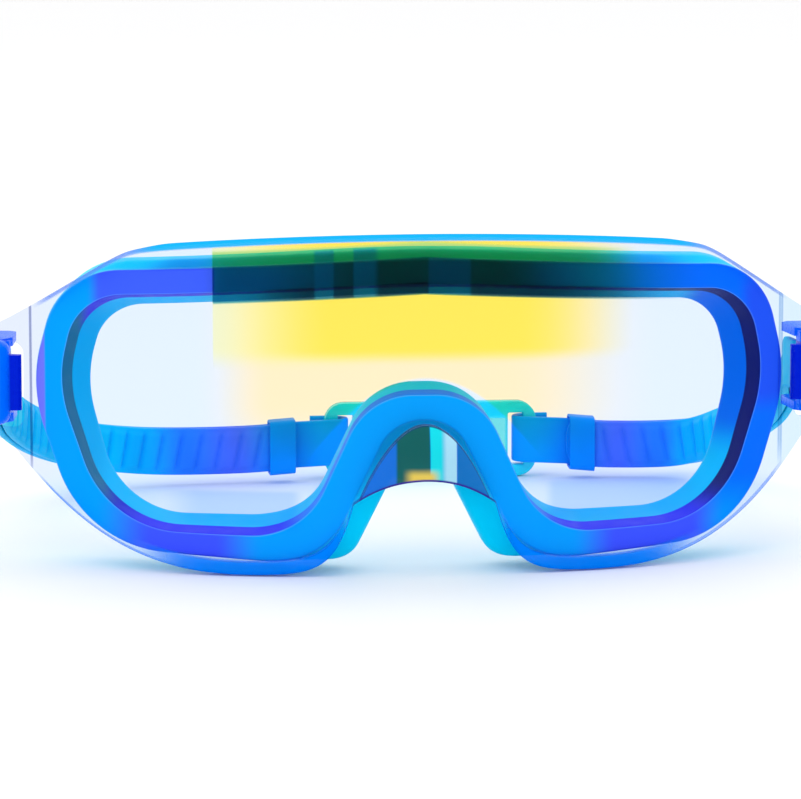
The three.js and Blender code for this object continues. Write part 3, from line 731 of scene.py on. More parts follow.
@dataclass(frozen=True)
class SkirtSilicone:
    """Soft turquoise silicone, with the coat's reflections, a shaded wall and an edge highlight
    painted on where it is behind the shell.
    """

    plain: Colour = (0, 212, 252)
    face: Colour = (0, 188, 255)
    # Painted shade: the inner wall is painted dark where it sinks behind the face.
    wall: Colour = (0, 28, 192)
    edge_line: Colour = (150, 205, 255)
    edge_cover: float = 0.6
    sheen: Colour = (70, 170, 255)
    # Painted reflections of the mirror coat on the bonding face.
    face_patches: tuple[Patch, ...] = (
        Patch(58.0, 90.0, 18.0, 80.0, (0, 128, 255), (28.0, 4.0, 12.0, 4.0)),
        Patch(70.0, 90.0, 34.0, 54.0, (44, 98, 244), (4.0, 4.0, 6.0, 6.0)),
        Patch(-64.0, -41.8, 50.0, 80.0, (84, 112, 255), (3.0, 0.4, 4.0, 2.0)),
        Patch(-54.0, -42.0, -5.0, 12.0, (84, 100, 255), (12.0, 10.0, 1.0, 5.0)),
        Patch(40.0, 56.0, -5.0, 12.0, (84, 100, 255), (10.0, 8.0, 1.0, 4.0)),
        Patch(-90.0, -75.6, 24.0, 52.0, (146, 142, 255), (1.0, 0.5, 8.0, 5.0)),
    )
    # Painted coat reflections over the shaded wall: teal, violet, and near black on the right.
    wall_patches: tuple[Patch, ...] = (
        Patch(-90.0, -64.0, 18.0, 54.0, (0, 122, 150), (1.0, 4.0, 8.0, 4.0)),
        Patch(-66.0, -41.8, 50.0, 80.0, (66, 40, 226), (3.0, 0.4, 4.0, 2.0)),
        Patch(-90.0, 90.0, -5.0, 9.0, (44, 36, 240), (1.0, 1.0, 1.0, 5.0)),
        Patch(-22.0, 22.0, -5.0, 44.0, (0, 142, 250), (8.0, 8.0, 1.0, 3.0)),
        Patch(52.0, 90.0, 16.0, 80.0, (0, 6, 104), (12.0, 1.0, 6.0, 2.0)),
    )
    lip_patches: tuple[Patch, ...] = (
        # Painted coat reflections on the lip at the sides, and painted light that brightens the lip
        # over the nose.
        Patch(60.0, 90.0, 28.0, 62.0, (0, 124, 240), (6.0, 1.0, 9.0, 6.0)),
        Patch(-90.0, -66.0, 20.0, 54.0, (0, 200, 244), (1.0, 6.0, 8.0, 6.0)),
        Patch(-15.0, 15.0, 30.0, 44.0, (0, 232, 255), (4.0, 4.0, 4.0, 2.0)),
    )

    def material(self) -> bpy.types.Material:
        """Builds the material.

        The mesh's mark "place" counts its profile's corners: the face ends at 1 with a painted
        highlight line, the wall, painted dark as shade, ends at 2, the lip at 3, and the back is
        plain.

        Returns:
            The material.
        """
        recipe = Recipe("skirt_silicone")
        place = recipe.mark("place")
        plain = recipe.varied(shade(*self.plain), 14.0, 0.05)
        face = recipe.patched(shade(*self.face), self.face_patches)
        wall = recipe.patched(shade(*self.wall), self.wall_patches)
        lip = recipe.patched(plain, self.lip_patches)
        colour = recipe.mix(recipe.ease(place, 1.02, 1.12), face, wall)
        colour = recipe.mix(recipe.ease(place, 1.9, 2.12), colour, lip)
        # Painted highlight along the face's inner edge.
        line = recipe.math(
            "MULTIPLY",
            recipe.ease(place, 0.95, 1.0),
            recipe.ease(place, 1.0, 1.04, self.edge_cover, 0.0),
        )
        colour = recipe.mix(line, colour, shade(*self.edge_line))
        colour = recipe.mix(recipe.ease(place, 3.1, 3.9), colour, plain)
        return recipe.done(
            recipe.principled(
                Base_Color=colour,
                Roughness=recipe.ease(recipe.noise(3.0), 0.2, 0.8, 0.36, 0.5),
                Specular_IOR_Level=0.12,
                Specular_Tint=shade(*self.sheen),
                Normal=recipe.bump(recipe.noise(0.8), 0.02, 0.15),
            )
        )


@dataclass(frozen=True)
class StrapSilicone:
    """Turquoise ribbed silicone; the violet and blue towards the clasp are painted coat reflections
    seen through the lens.
    """

    # From 0.66 on, violet and blue are painted reflections of the mirror coat over the strap.
    stops: tuple[tuple[float, Colour], ...] = (
        (0.0, (0, 198, 226)),
        (0.58, (0, 200, 250)),
        (0.66, (0, 184, 255)),
        (0.74, (40, 130, 255)),
        (0.82, (76, 112, 255)),
        (0.9, (0, 140, 255)),
        (1.0, (0, 160, 255)),
    )
    valley: Colour = (0, 104, 240)
    valley_share: float = 0.34
    sheen: Colour = (70, 170, 255)

    def material(self) -> bpy.types.Material:
        """Builds the material. The mesh's mark "run" goes from 0 at the clip to 1 at the clasp."""
        recipe = Recipe("strap_silicone")
        colour = recipe.varied(recipe.ramp(recipe.mark("run"), self.stops), 8.0, 0.05)
        # Painted shade in the valleys between ribs.
        valley = recipe.math("MULTIPLY", recipe.mark("valley"), self.valley_share)
        colour = recipe.mix(valley, colour, shade(*self.valley))
        return recipe.done(
            recipe.principled(
                Base_Color=colour,
                Roughness=recipe.ease(recipe.noise(2.5), 0.2, 0.8, 0.36, 0.5),
                Specular_IOR_Level=0.15,
                Specular_Tint=shade(*self.sheen),
                Normal=recipe.bump(recipe.noise(0.8), 0.02, 0.15),
            )
        )


@dataclass(frozen=True)
class ClipPlastic:
    """Moulded royal-blue plastic with a fine spark-eroded grain."""

    name: str
    colour: Colour = (0, 112, 255)
    # Painted shade on the tongue between the wing's ears.
    deep: Colour = (0, 30, 206)
    sheen: Colour = (90, 160, 255)

    def material(
        self, deep_within: float = 0.0, middle_z: float = 0.0, half_height: float = 0.0
    ) -> bpy.types.Material:
        """Builds the material, with painted shade in deep blue on the tongue between the wing's
        ears.

        Args:
            deep_within: Distance from the mask's middle inside which the painted shade lies.
            middle_z: Height of the tongue's middle.
            half_height: Half the height over which the painted shade lies.

        Returns:
            The material.
        """
        recipe = Recipe(self.name)
        x, _, z = recipe.axes()
        inside = recipe.ease(recipe.math("ABSOLUTE", x), deep_within, deep_within + 0.6, 1.0, 0.0)
        away = recipe.math("ABSOLUTE", recipe.math("SUBTRACT", z, middle_z))
        level = recipe.ease(away, half_height, half_height + 0.2, 1.0, 0.0)
        inside = recipe.math("MULTIPLY", inside, level)
        ground = recipe.varied(shade(*self.colour), 6.0, 0.04)
        colour = recipe.mix(inside, ground, shade(*self.deep))
        return recipe.done(
            recipe.principled(
                Base_Color=colour,
                Roughness=recipe.ease(recipe.noise(1.2), 0.2, 0.8, 0.22, 0.34),
                Specular_IOR_Level=0.16,
                Specular_Tint=shade(*self.sheen),
                Normal=recipe.bump(recipe.noise(2.0), 0.01, 0.05),
            )
        )


@dataclass(frozen=True)
class ClaspPlastic:
    """Aqua plastic that lets some light through, paler where it is thin."""

    colour: Colour = (0, 236, 255)
    through: Colour = (120, 250, 255)
    solid_share: float = 0.8
    window: Patch = Patch(-2.4, 32.4, 6.0, 13.2, (200, 250, 236), (0.8, 0.8, 0.8, 0.8))
    window_share: float = 0.2

    def material(self) -> bpy.types.Material:
        """Builds the material."""
        recipe = Recipe("clasp_plastic")
        solid = recipe.principled(
            Base_Color=recipe.varied(shade(*self.colour), 5.0, 0.05),
            Roughness=recipe.ease(recipe.noise(1.5), 0.2, 0.8, 0.12, 0.26),
            Normal=recipe.bump(recipe.noise(1.6), 0.02, 0.12),
            Specular_IOR_Level=0.4,
            IOR=1.49,
        )
        window = recipe.within(self.window)
        share = recipe.ease(window, 0.0, 1.0, self.solid_share, self.window_share)
        through = recipe.mix(window, shade(*self.through), shade(*self.window.colour))
        return recipe.done(recipe.see_through(through, solid, share))


@dataclass(frozen=True)
class PinSteel:
    """Drawn stainless steel."""

    colour: Colour = (205, 209, 214)

    def material(self) -> bpy.types.Material:
        """Builds the material, with fine drawing lines along the pin."""
        recipe = Recipe("pin_steel")
        lines = recipe.noise(0.4, 2.0, (1.0, 1.0, 0.04))
        return recipe.done(
            recipe.principled(
                Base_Color=recipe.varied(shade(*self.colour), 1.0, 0.06),
                Metallic=1.0,
                Roughness=recipe.ease(lines, 0.3, 0.7, 0.18, 0.36),
            )
        )


def dress(piece: bpy.types.Object, material: bpy.types.Material) -> None:
    """Gives a piece one material."""
    piece.data.materials.clear()
    piece.data.materials.append(material)


# ---------------------------------------------------------------- the mask's shared form


@dataclass(frozen=True)
class MaskForm:
    """The front surface and the outline that the shell, the skirt and the clips follow."""

    shift_y: float
    radius: float = 175.0
    wrap: float = 1.6e-7
    top: float = 68.4
    top_radius: float = 625.0
    corner_x: float = 58.8
    shoulder_slope: float = 0.67
    corner_blend: float = 1.8
    lobe_x: float = 33.0
    lobe_rise: float = 23.2
    lobe_reach: float = 48.0
    lobe_power: float = 2.66
    arch_top: float = 19.5
    arch_sag: float = 5.1
    nose_half: float = 14.4
    nose_flare: float = 3.6
    wing_top: float = 47.4
    wing_bottom: float = 25.4
    wing_blend: float = 1.6
    lens_thickness: float = 2.0
    hinge_x: float = 86.4
    web_top: float = 30.6
    web_fall: float = 0.0885
    ring_arch: float = 39.9
    ring_fall: float = 0.03

    def front(self, x: Array) -> Array:
        """The front surface's depth: x^2 / (2 R) + k x^4."""
        return x * x / (2.0 * self.radius) + self.wrap * x**4

    def along_y(self, thickness: float, x: Array) -> Array:
        """How far a wall's thickness reaches along y, where the surface slopes away at x."""
        return thickness * np.hypot(1.0, x / self.radius + 4.0 * self.wrap * x**3)

    def top_at(self, x: Array) -> Array:
        """The shell's upper edge: a flat arch, a straight shoulder and the level wing."""
        arch = self.top - x * x / (2.0 * self.top_radius)
        corner = self.top - self.corner_x**2 / (2.0 * self.top_radius)
        shoulder = corner - self.shoulder_slope * (np.abs(x) - self.corner_x)
        falling = smooth_min(arch, shoulder, self.corner_blend)
        return smooth_max(falling, self.wing_top, self.wing_blend)

    def bottom_at(self, x: Array) -> Array:
        """The shell's lower edge: nose arch, a foot falling off, the lobe's rise and the wing."""
        reach = np.abs(x)
        arch = self.arch_top - self.arch_sag * (reach / self.nose_half) ** 2
        side = self.arch_top - self.arch_sag
        foot = side * np.exp(np.minimum(self.nose_half - reach, 0.0) / self.nose_flare)
        lobe = np.maximum(reach - self.lobe_x, 0.0) / self.lobe_reach
        rising = foot + self.lobe_rise * lobe**self.lobe_power
        lifted = smooth_min(rising, self.wing_bottom, self.wing_blend)
        return np.where(reach <= self.nose_half, arch, lifted)

    @property
    def hinge_y(self) -> float:
        """The depth of the wings' hinge bars."""
        wall = self.along_y(self.lens_thickness, self.hinge_x)
        return float(self.front(self.hinge_x) + wall / 2.0)


# ---------------------------------------------------------------- front shell


@dataclass
class FrontShell:
    """The one-piece clear shell: lens, rims, nose bridge, wings and hinge bars."""

    form: MaskForm
    rim_thickness: float = 1.2
    rim_draft: float = 0.4
    top_rim_depth: float = 7.0
    lobe_rim_depth: float = 5.0
    bridge_bulge: float = 3.2
    bridge_width: float = 9.0
    bridge_low: float = 24.0
    bridge_high: float = 37.0
    wing_end_x: float = 89.0
    window_x: float = 79.6
    ear: float = 2.1
    bar_radius: float = 1.75
    window_radius: float = 2.2
    edge_radius: float = 0.9
    rim_radius: float = 0.5
    end_round: float = 0.3
    steepest_wall: float = 2.0
    top_rim_fade: Span = (-9.0, -1.0)
    lobe_rim_rise: Span = (-9.0, -3.0)
    lobe_rim_fade: Span = (5.0, 16.0)
    beside_nose: float = 0.1
    foot_stretch: float = 14.0
    corner_stretch: float = 6.0
    window_past: float = 8.0
    window_depths: Span = (-10.0, 80.0)
    bar_sunk: float = 1.0

    def stations(self) -> Array:
        """Places across the mask where sections are worked out, closer where the edge turns."""
        nose, corner, beside = self.form.nose_half, self.form.corner_x, self.beside_nose
        foot, turn = self.foot_stretch, self.corner_stretch
        half = np.concatenate(
            [
                np.linspace(0.0, nose - beside, 22),
                nose + beside + np.geomspace(0.2, foot, 34) - 0.2,
                np.linspace(nose + foot + 1.0, corner - turn, 28),
                np.linspace(corner - turn + 0.6, corner + turn, 20),
                np.linspace(corner + turn + 0.8, self.wing_end_x - 0.5, 34),
                self.wing_end_x - np.array([self.end_round, 0.12, 0.0]),
            ]
        )
        return np.concatenate([-half[:0:-1], half])

    def bulge(self, x: Array, z: Array) -> Array:
        """How far the nose bridge stands forward: a bell across x that fades out upwards."""
        bell = np.exp(-((x / self.bridge_width) ** 2))
        return self.bridge_bulge * bell * (1.0 - smoothstep(self.bridge_low, self.bridge_high, z))

    def sections(self) -> Array:
        """Closed outlines in depth and height at each station.

        Each outline runs up the front, back along the upper rim, down the rear of the lens and
        forward along the lower rim, with its corners rounded.

        Returns:
            Points, shaped (station, point, 3).
        """
        form, x = self.form, self.stations()
        reach, low, high = np.abs(x), form.bottom_at(x), form.top_at(x)
        step = 0.05
        top_slope = (form.top_at(reach + step) - high) / step
        low_slope = (form.bottom_at(reach + step) - low) / step
        top_wall = self.rim_thickness * np.hypot(1.0, top_slope)
        low_wall = self.rim_thickness * np.minimum(np.hypot(1.0, low_slope), self.steepest_wall)
        back = form.along_y(form.lens_thickness, x)
        on_shoulder = smoothstep(*self.top_rim_fade, reach - form.corner_x)
        top_depth = self.top_rim_depth + (back - self.top_rim_depth) * on_shoulder
        rise = smoothstep(*self.lobe_rim_rise, reach - form.lobe_x)
        on_lobe = rise * (1.0 - smoothstep(*self.lobe_rim_fade, reach - form.lobe_x))
        low_depth = back + (self.lobe_rim_depth - back) * on_lobe
        ends = np.clip((self.wing_end_x - reach) / self.end_round, 0.0, 1.0)
        pinch = self.end_round * (1.0 - np.sqrt(1.0 - (1.0 - ends) ** 2))
        zero = np.zeros_like(x)
        corners = np.stack(
            [
                np.stack([zero + pinch, low + pinch], axis=-1),
                np.stack([zero + pinch, high - pinch], axis=-1),
                np.stack([top_depth - pinch, high - pinch], axis=-1),
                np.stack([top_depth - pinch, high - top_wall], axis=-1),
                np.stack([back - pinch, high - top_wall - self.rim_draft], axis=-1),
                np.stack([back - pinch, low + low_wall + self.rim_draft], axis=-1),
                np.stack([low_depth - pinch, low + low_wall], axis=-1),
                np.stack([low_depth - pinch, low + pinch], axis=-1),
            ],
            axis=1,
        )
        edge, rim = self.edge_radius, self.rim_radius
        radii = [edge, edge, rim, rim, edge, edge, rim, rim]
        outline, _ = rounded_outline(corners, radii, 4, [44, 8, 1, 2, 44, 2, 1, 3])
        depth, height = outline[..., 0], outline[..., 1]
        across = np.broadcast_to(x[:, None], depth.shape)
        y = form.front(across) + depth - self.bulge(across, height)
        return np.stack([across, y, height], axis=-1)

    def window(self, side: Side) -> Solid:
        """The space between a wing's two ears: a round-cornered opening carried through y."""
        low = self.form.wing_bottom + self.ear
        high = self.form.wing_top - self.ear
        far = self.wing_end_x + self.window_past
        outline = rounded_rectangle((self.window_x, low), (far, high), self.window_radius)
        depths = np.array(self.window_depths)
        sections = np.empty((2, len(outline), 3))
        sections[..., 0] = side.value * outline[:, 0]
        sections[..., 1] = depths[:, None]
        sections[..., 2] = outline[:, 1]
        return lofted(sections)

    def build(self) -> bpy.types.Object:
        """Builds and dresses the shell, and puts it in the CAD shell's place."""
        form = self.form
        sections = self.sections()
        x, z = sections[..., 0], sections[..., 2]
        marks = {"from_top": form.top_at(x) - z, "from_low": z - form.bottom_at(x)}
        shell = make_mesh("shell", lofted(sections, marks=marks), form.shift_y)
        windows, bars = [], []
        for side in Side:
            windows.append(make_mesh("window", self.window(side), form.shift_y))
            low = form.wing_bottom + self.ear - self.bar_sunk
            high = form.wing_top - self.ear + self.bar_sunk
            bar = upright_bar(side.value * form.hinge_x, form.hinge_y, low, high, self.bar_radius)
            bars.append(make_mesh("hinge_bar", bar, form.shift_y))
        mesh = carved(shell, windows, bars)
        smooth_shading(mesh)
        piece = make_object("lens_shell", mesh)
        dress(piece, CoatedClear().material(form))
        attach(piece, "mask")
        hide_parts("front_shell")
        return piece


# ---------------------------------------------------------------- face skirt


@dataclass
class FaceSkirt:
    """The soft skirt: bonding ring, inner wall, lip and the face seal behind it."""

    form: MaskForm
    ring_top: float = 63.9
    ring_top_drop: float = 3.6
    ring_side: float = 78.3
    ring_side_top: float = 72.0
    ring_side_height: float = 36.0
    ring_low: tuple[float, float] = (67.8, 4.8)
    ring_lobe: tuple[float, float] = (20.4, 1.9)
    ring_nose: tuple[float, float] = (6.2, 31.2)
    lobe_radius: float = 16.0
    nose_radius: float = 10.0
    window_nose_radius: float = 14.0
    width_top: float = 4.8
    width_side: float = 5.4
    width_low: float = 3.6
    width_lobe: float = 5.6
    width_flank: float = 4.0
    width_nose: float = 5.2
    ring_depth: float = 3.2
    inset_top: float = 3.2
    inset_side: float = 6.4
    inset_low: float = 1.6
    inset_lobe: float = 2.8
    inset_nose: float = 2.0
    lip_depth: float = 13.0
    lip_depth_nose: float = 7.0
    seal_depth: float = 16.0
    seal_rise: float = 1.9
    seal_inset: float = 1.6
    seal_shoulder_rise: float = 1.4
    seal_lobe: tuple[float, float] = (14.4, 1.9)
    seal_lobe_radius: float = 6.0
    seal_nose: tuple[float, float] = (4.6, 21.4)
    inner_corner_share: float = 0.6
    inner_side_rise: float = 1.0
    inner_low_shift: float = 0.8
    lip_low_share: float = 0.55
    lip_lobe_share: float = 0.4
    lip_nose_share: float = 0.6
    seal_corner_inset: float = 0.4
    seal_low_inset: float = 1.0
    outer_radii: tuple[float, ...] = (300.0, 21.0, 30.0, 26.0)
    inner_radii: tuple[float, ...] = (300.0, 17.0, 26.0, 20.0)
    seal_radii: tuple[float, ...] = (300.0, 21.0, 30.0, 24.0)
    arc_steps: int = 18
    edge_steps: tuple[int, ...] = (40, 8, 8, 24, 12, 6)

    def loop(self, half: Sequence[tuple[float, float]], radii: Sequence[float]) -> Array:
        """A loop round the mask from half of its corners, mirrored about the middle.

        Args:
            half: Corners as x and z, from the top middle over the side to the nose.
            radii: A radius for each of those corners.

        Returns:
            Points, shaped (point, 2).
        """
        right = np.array(half, float)
        corners = np.vstack([right, right[:0:-1] * np.array([-1.0, 1.0])])
        all_radii = [*radii, *radii[:0:-1]]
        steps = [*self.edge_steps, *self.edge_steps[-2::-1]]
        return rounded_outline(corners, all_radii, self.arc_steps, steps)[0]

    def loops(self) -> tuple[Array, Array, Array, Array]:
        """The skirt's four loops: ring outside, ring inside, lip edge and seal."""
        shoulder = self.ring_top - self.ring_top_drop
        side_x, side_z = self.ring_side, self.ring_side_height
        (low_x, low_z), (lobe_x, lobe_z) = self.ring_low, self.ring_lobe
        nose_x, nose_z = self.ring_nose
        top, side, low, nose = self.width_top, self.width_side, self.width_low, self.width_nose
        outer = [
            (0.0, self.ring_top),
            (self.ring_side_top, shoulder),
            (side_x, side_z),
            (low_x, low_z),
            (lobe_x, lobe_z),
            (nose_x, nose_z),
        ]
        inner = [
            (0.0, self.ring_top - top),
            (self.ring_side_top - side * self.inner_corner_share, shoulder - top),
            (side_x - side, side_z + self.inner_side_rise),
            (low_x - side + self.inner_low_shift, low_z + low),
            (lobe_x + self.width_flank, lobe_z + self.width_lobe),
            (nose_x + nose, nose_z + nose),
        ]
        inset, nose = self.inset_side, self.inset_nose
        low_inset = inset * self.lip_low_share
        lobe_inset, nose_inset = nose * self.lip_lobe_share, nose * self.lip_nose_share
        inset_x = (0.0, inset, inset, low_inset, lobe_inset, nose_inset)
        inset_z = (self.inset_top, self.inset_top, 0.0, -self.inset_low, -self.inset_lobe, -nose)
        lip = [(x - dx, z - dz) for (x, z), dx, dz in zip(inner, inset_x, inset_z)]
        inset = self.seal_inset
        seal = [
            (0.0, self.ring_top + self.seal_rise),
            (
                self.ring_side_top - inset - self.seal_corner_inset,
                shoulder + self.seal_shoulder_rise,
            ),
            (side_x - inset, side_z),
            (low_x - self.seal_low_inset, low_z + inset),
            self.seal_lobe,
            self.seal_nose,
        ]
        window_radii = (*self.inner_radii, self.lobe_radius, self.window_nose_radius)
        return (
            self.loop(outer, (*self.outer_radii, self.lobe_radius, self.nose_radius)),
            self.loop(inner, window_radii),
            self.loop(lip, window_radii),
            self.loop(seal, (*self.seal_radii, self.seal_lobe_radius, self.nose_radius)),
        )

    def lip_depth_at(self, lip: Array) -> Array:
        """How far back the lip stands at its points: less over the nose."""
        lobe_x, nose_z = self.ring_lobe[0], self.ring_nose[1]
        over_nose = 1.0 - smoothstep(lobe_x, lobe_x + 12.0, np.abs(lip[:, 0]))
        low = 1.0 - smoothstep(nose_z + 10.0, nose_z + 16.0, lip[:, 1])
        return self.lip_depth + (self.lip_depth_nose - self.lip_depth) * over_nose * low

    def solid(self) -> Solid:
        """The skirt as closed profiles carried round the mask.

        A profile's corners are shares between two of the loops at a depth behind the lens, and
        are rounded. The mark "place" counts them: 0 to 1 is the bonding face, 1 to 2 the inner
        wall, 2 to 3 the lip, and the rest is the seal and the outer side.

        Returns:
            The solid.
        """
        outer, inner, lip, seal = self.loops()
        deep = self.lip_depth_at(lip)
        profile = (
            (outer, outer, 0.0, 0.0, 0.45),
            (inner, inner, 0.0, 0.0, 0.4),
            (inner, lip, 0.35, deep * 0.45, 2.0),
            (lip, lip, 0.0, deep, 2.0),
            (lip, seal, 0.12, self.seal_depth, 1.2),
            (lip, seal, 0.5, self.seal_depth + 0.6, 3.0),
            (lip, seal, 0.8, self.seal_depth - 1.2, 3.0),
            (seal, seal, 0.0, self.lip_depth - 1.0, 2.5),
            (seal, seal, 0.0, self.ring_depth + 2.2, 2.0),
            (outer, outer, 0.0, self.ring_depth, 1.0),
        )
        corners = np.stack(
            [
                np.column_stack([a + (b - a) * share, np.broadcast_to(back, len(a))])
                for a, b, share, back, _ in profile
            ],
            axis=1,
        )
        radii = [radius for *_, radius in profile]
        outline, place = rounded_outline(corners, radii, 5, [5, 4, 5, 3, 3, 3, 2, 3, 2, 3])
        x, z = outline[..., 0], outline[..., 1]
        behind = self.form.front(x) + self.form.along_y(self.form.lens_thickness + GAP, x)
        sections = np.stack([x, behind + outline[..., 2], z], axis=-1)
        marks = {"place": np.broadcast_to(place, x.shape)}
        return lofted(sections, closed=True, marks=marks)

    def build(self) -> bpy.types.Object:
        """Builds and dresses the skirt, and puts it in the CAD skirt's place."""
        mesh = make_mesh("silicone_skirt", self.solid(), self.form.shift_y)
        smooth_shading(mesh, 60.0)
        piece = make_object("silicone_skirt", mesh)
        dress(piece, SkirtSilicone().material())
        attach(piece, "mask")
        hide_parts("face_skirt")
        return piece


# ---------------------------------------------------------------- side clips


@dataclass
class SideClip:
    """One side's clip: body, release lever and the lever's pin."""

    form: MaskForm
    side: Side
    nodes: dict[str, bpy.types.Object]
    middle_z: float = 36.35
    turn_degrees: float = 5.0
    length: float = 16.2
    strap_bar_x: float = 11.6
    strap_bar_radius: float = 1.3
    body_edge: float = 0.5
    lever_edge: float = 0.35
    pin_edge: float = 0.15
    lever_colour: Colour = (0, 96, 248)
    deep_within: float = 82.2
    tongue_half: float = 5.9

    def point(self, x: float, y: float) -> tuple[float, float]:
        """A point of the right clip's own frame in the mask's frame, seen from above.

        Args:
            x: Distance back along the strap from the hinge bar's axis.
            y: Distance away from the head.

        Returns:
            The point's x and y.
        """
        angle = math.radians(90.0 + self.turn_degrees)
        cosine, sine = math.cos(angle), math.sin(angle)
        return (
            self.form.hinge_x + x * cosine + y * sine,
            self.form.hinge_y + x * sine - y * cosine,
        )

    def build(self) -> list[bpy.types.Object]:
        """Builds and dresses the clip's three pieces."""
        word = self.side.word
        body = softened(self.nodes[f"{word}_clip_body"], f"{word}_clip_shell", self.body_edge)
        # Painted shade on the clip's tongue between the ears.
        deep = (self.deep_within, self.middle_z, self.tongue_half)
        dress(body, ClipPlastic(f"{word}_clip_plastic").material(*deep))
        lever_node = self.nodes[f"{word}_release_lever"]
        lever = softened(lever_node, f"{word}_thumb_lever", self.lever_edge)
        dress(lever, ClipPlastic(f"{word}_lever_plastic", self.lever_colour).material())
        pin = softened(self.nodes[f"{word}_lever_pin"], f"{word}_hinge_pin", self.pin_edge)
        dress(pin, PinSteel().material())
        made = (
            (body, self.side.body, "clip_body", "clip_plastic"),
            (lever, self.side.lever_body, "release_lever", "clip_plastic"),
            (pin, self.side.body, "lever_pin", "pin_steel"),
        )
        for piece, rides, node, slot in made:
            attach(piece, rides)
            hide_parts(f"{word}_{node}")
        return [body, lever, pin]


# ---------------------------------------------------------------- rear clasp


@dataclass
class RearClasp:
    """The plug and the socket that join the strap's halves behind the head."""

    nodes: dict[str, bpy.types.Object]
    height: float = 17.4
    length: float = 49.0
    thickness: float = 3.4
    bar: float = 3.0
    edge: float = 0.45

    @property
    def bar_x(self) -> float:
        """Distance of an end bar's middle from the clasp's middle."""
        return self.length / 2.0 - self.bar / 2.0

    def build(self) -> list[bpy.types.Object]:
        """Builds and dresses the two halves."""
        finish = ClaspPlastic().material()
        made = []
        for node, body in (("clasp_socket", "left_side"), ("clasp_plug", "right_side")):
            piece = softened(self.nodes[node], f"{node}_half", self.edge)
            dress(piece, finish)
            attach(piece, body)
            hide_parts(node)
            made.append(piece)
        return made


# ---------------------------------------------------------------- strap


class Route:
    """A smooth line through points, measured along its length.

    Between two points it is a cubic whose end slopes are the centripetal Catmull-Rom ones, with
    knots spaced by the square roots of the distances.
    """

    def __init__(self, points: Array, samples: int = 120) -> None:
        """Works out the line.

        Args:
            points: The points that it passes, shaped (point, 3).
            samples: Steps between two points.
        """
        first, last = 2.0 * points[0] - points[1], 2.0 * points[-1] - points[-2]
        knots = np.vstack([first, points, last])
        p0, p1, p2, p3 = (knots[i : len(knots) - 3 + i] for i in range(4))
        pairs = ((p0, p1), (p1, p2), (p2, p3))
        d0, d1, d2 = (np.sqrt(np.linalg.norm(b - a, axis=1))[:, None] for a, b in pairs)
        slope1 = ((p1 - p0) / d0 - (p2 - p0) / (d0 + d1) + (p2 - p1) / d1) * d1
        slope2 = ((p2 - p1) / d1 - (p3 - p1) / (d1 + d2) + (p3 - p2) / d2) * d1
        t = np.linspace(0.0, 1.0, samples, endpoint=False)[:, None, None]
        cubic = (
            p1
            + slope1 * t
            + (3.0 * (p2 - p1) - 2.0 * slope1 - slope2) * t**2
            + (2.0 * (p1 - p2) + slope1 + slope2) * t**3
        )
        self.line = np.vstack([cubic.transpose(1, 0, 2).reshape(-1, 3), points[-1:]])
        steps = np.linalg.norm(np.diff(self.line, axis=0), axis=1)
        self.reach = np.concatenate([[0.0], np.cumsum(steps)])
        self.length = float(self.reach[-1])

    def at(self, distance: Array) -> Array:
        """The points at distances from the start."""
        columns = [np.interp(distance, self.reach, self.line[:, axis]) for axis in range(3)]
        return np.stack(columns, axis=-1)

    def outward(self, distance: Array, side: Side) -> Array:
        """Level directions away from the head, at distances from the start."""
        after = self.at(np.minimum(distance + 0.5, self.length))
        ahead = after - self.at(np.maximum(distance - 0.5, 0.0))
        out = np.stack([ahead[..., 1], -ahead[..., 0], np.zeros_like(ahead[..., 0])], axis=-1)
        return side.value * out / np.linalg.norm(out, axis=-1, keepdims=True)

    def place(self, distance: Array, away: Array, up: Array, side: Side) -> Array:
        """Points at distances along the route, moved away from the head and up."""
        point = self.at(distance) + self.outward(distance, side) * np.asarray(away)[..., None]
        point[..., 2] += up
        return point


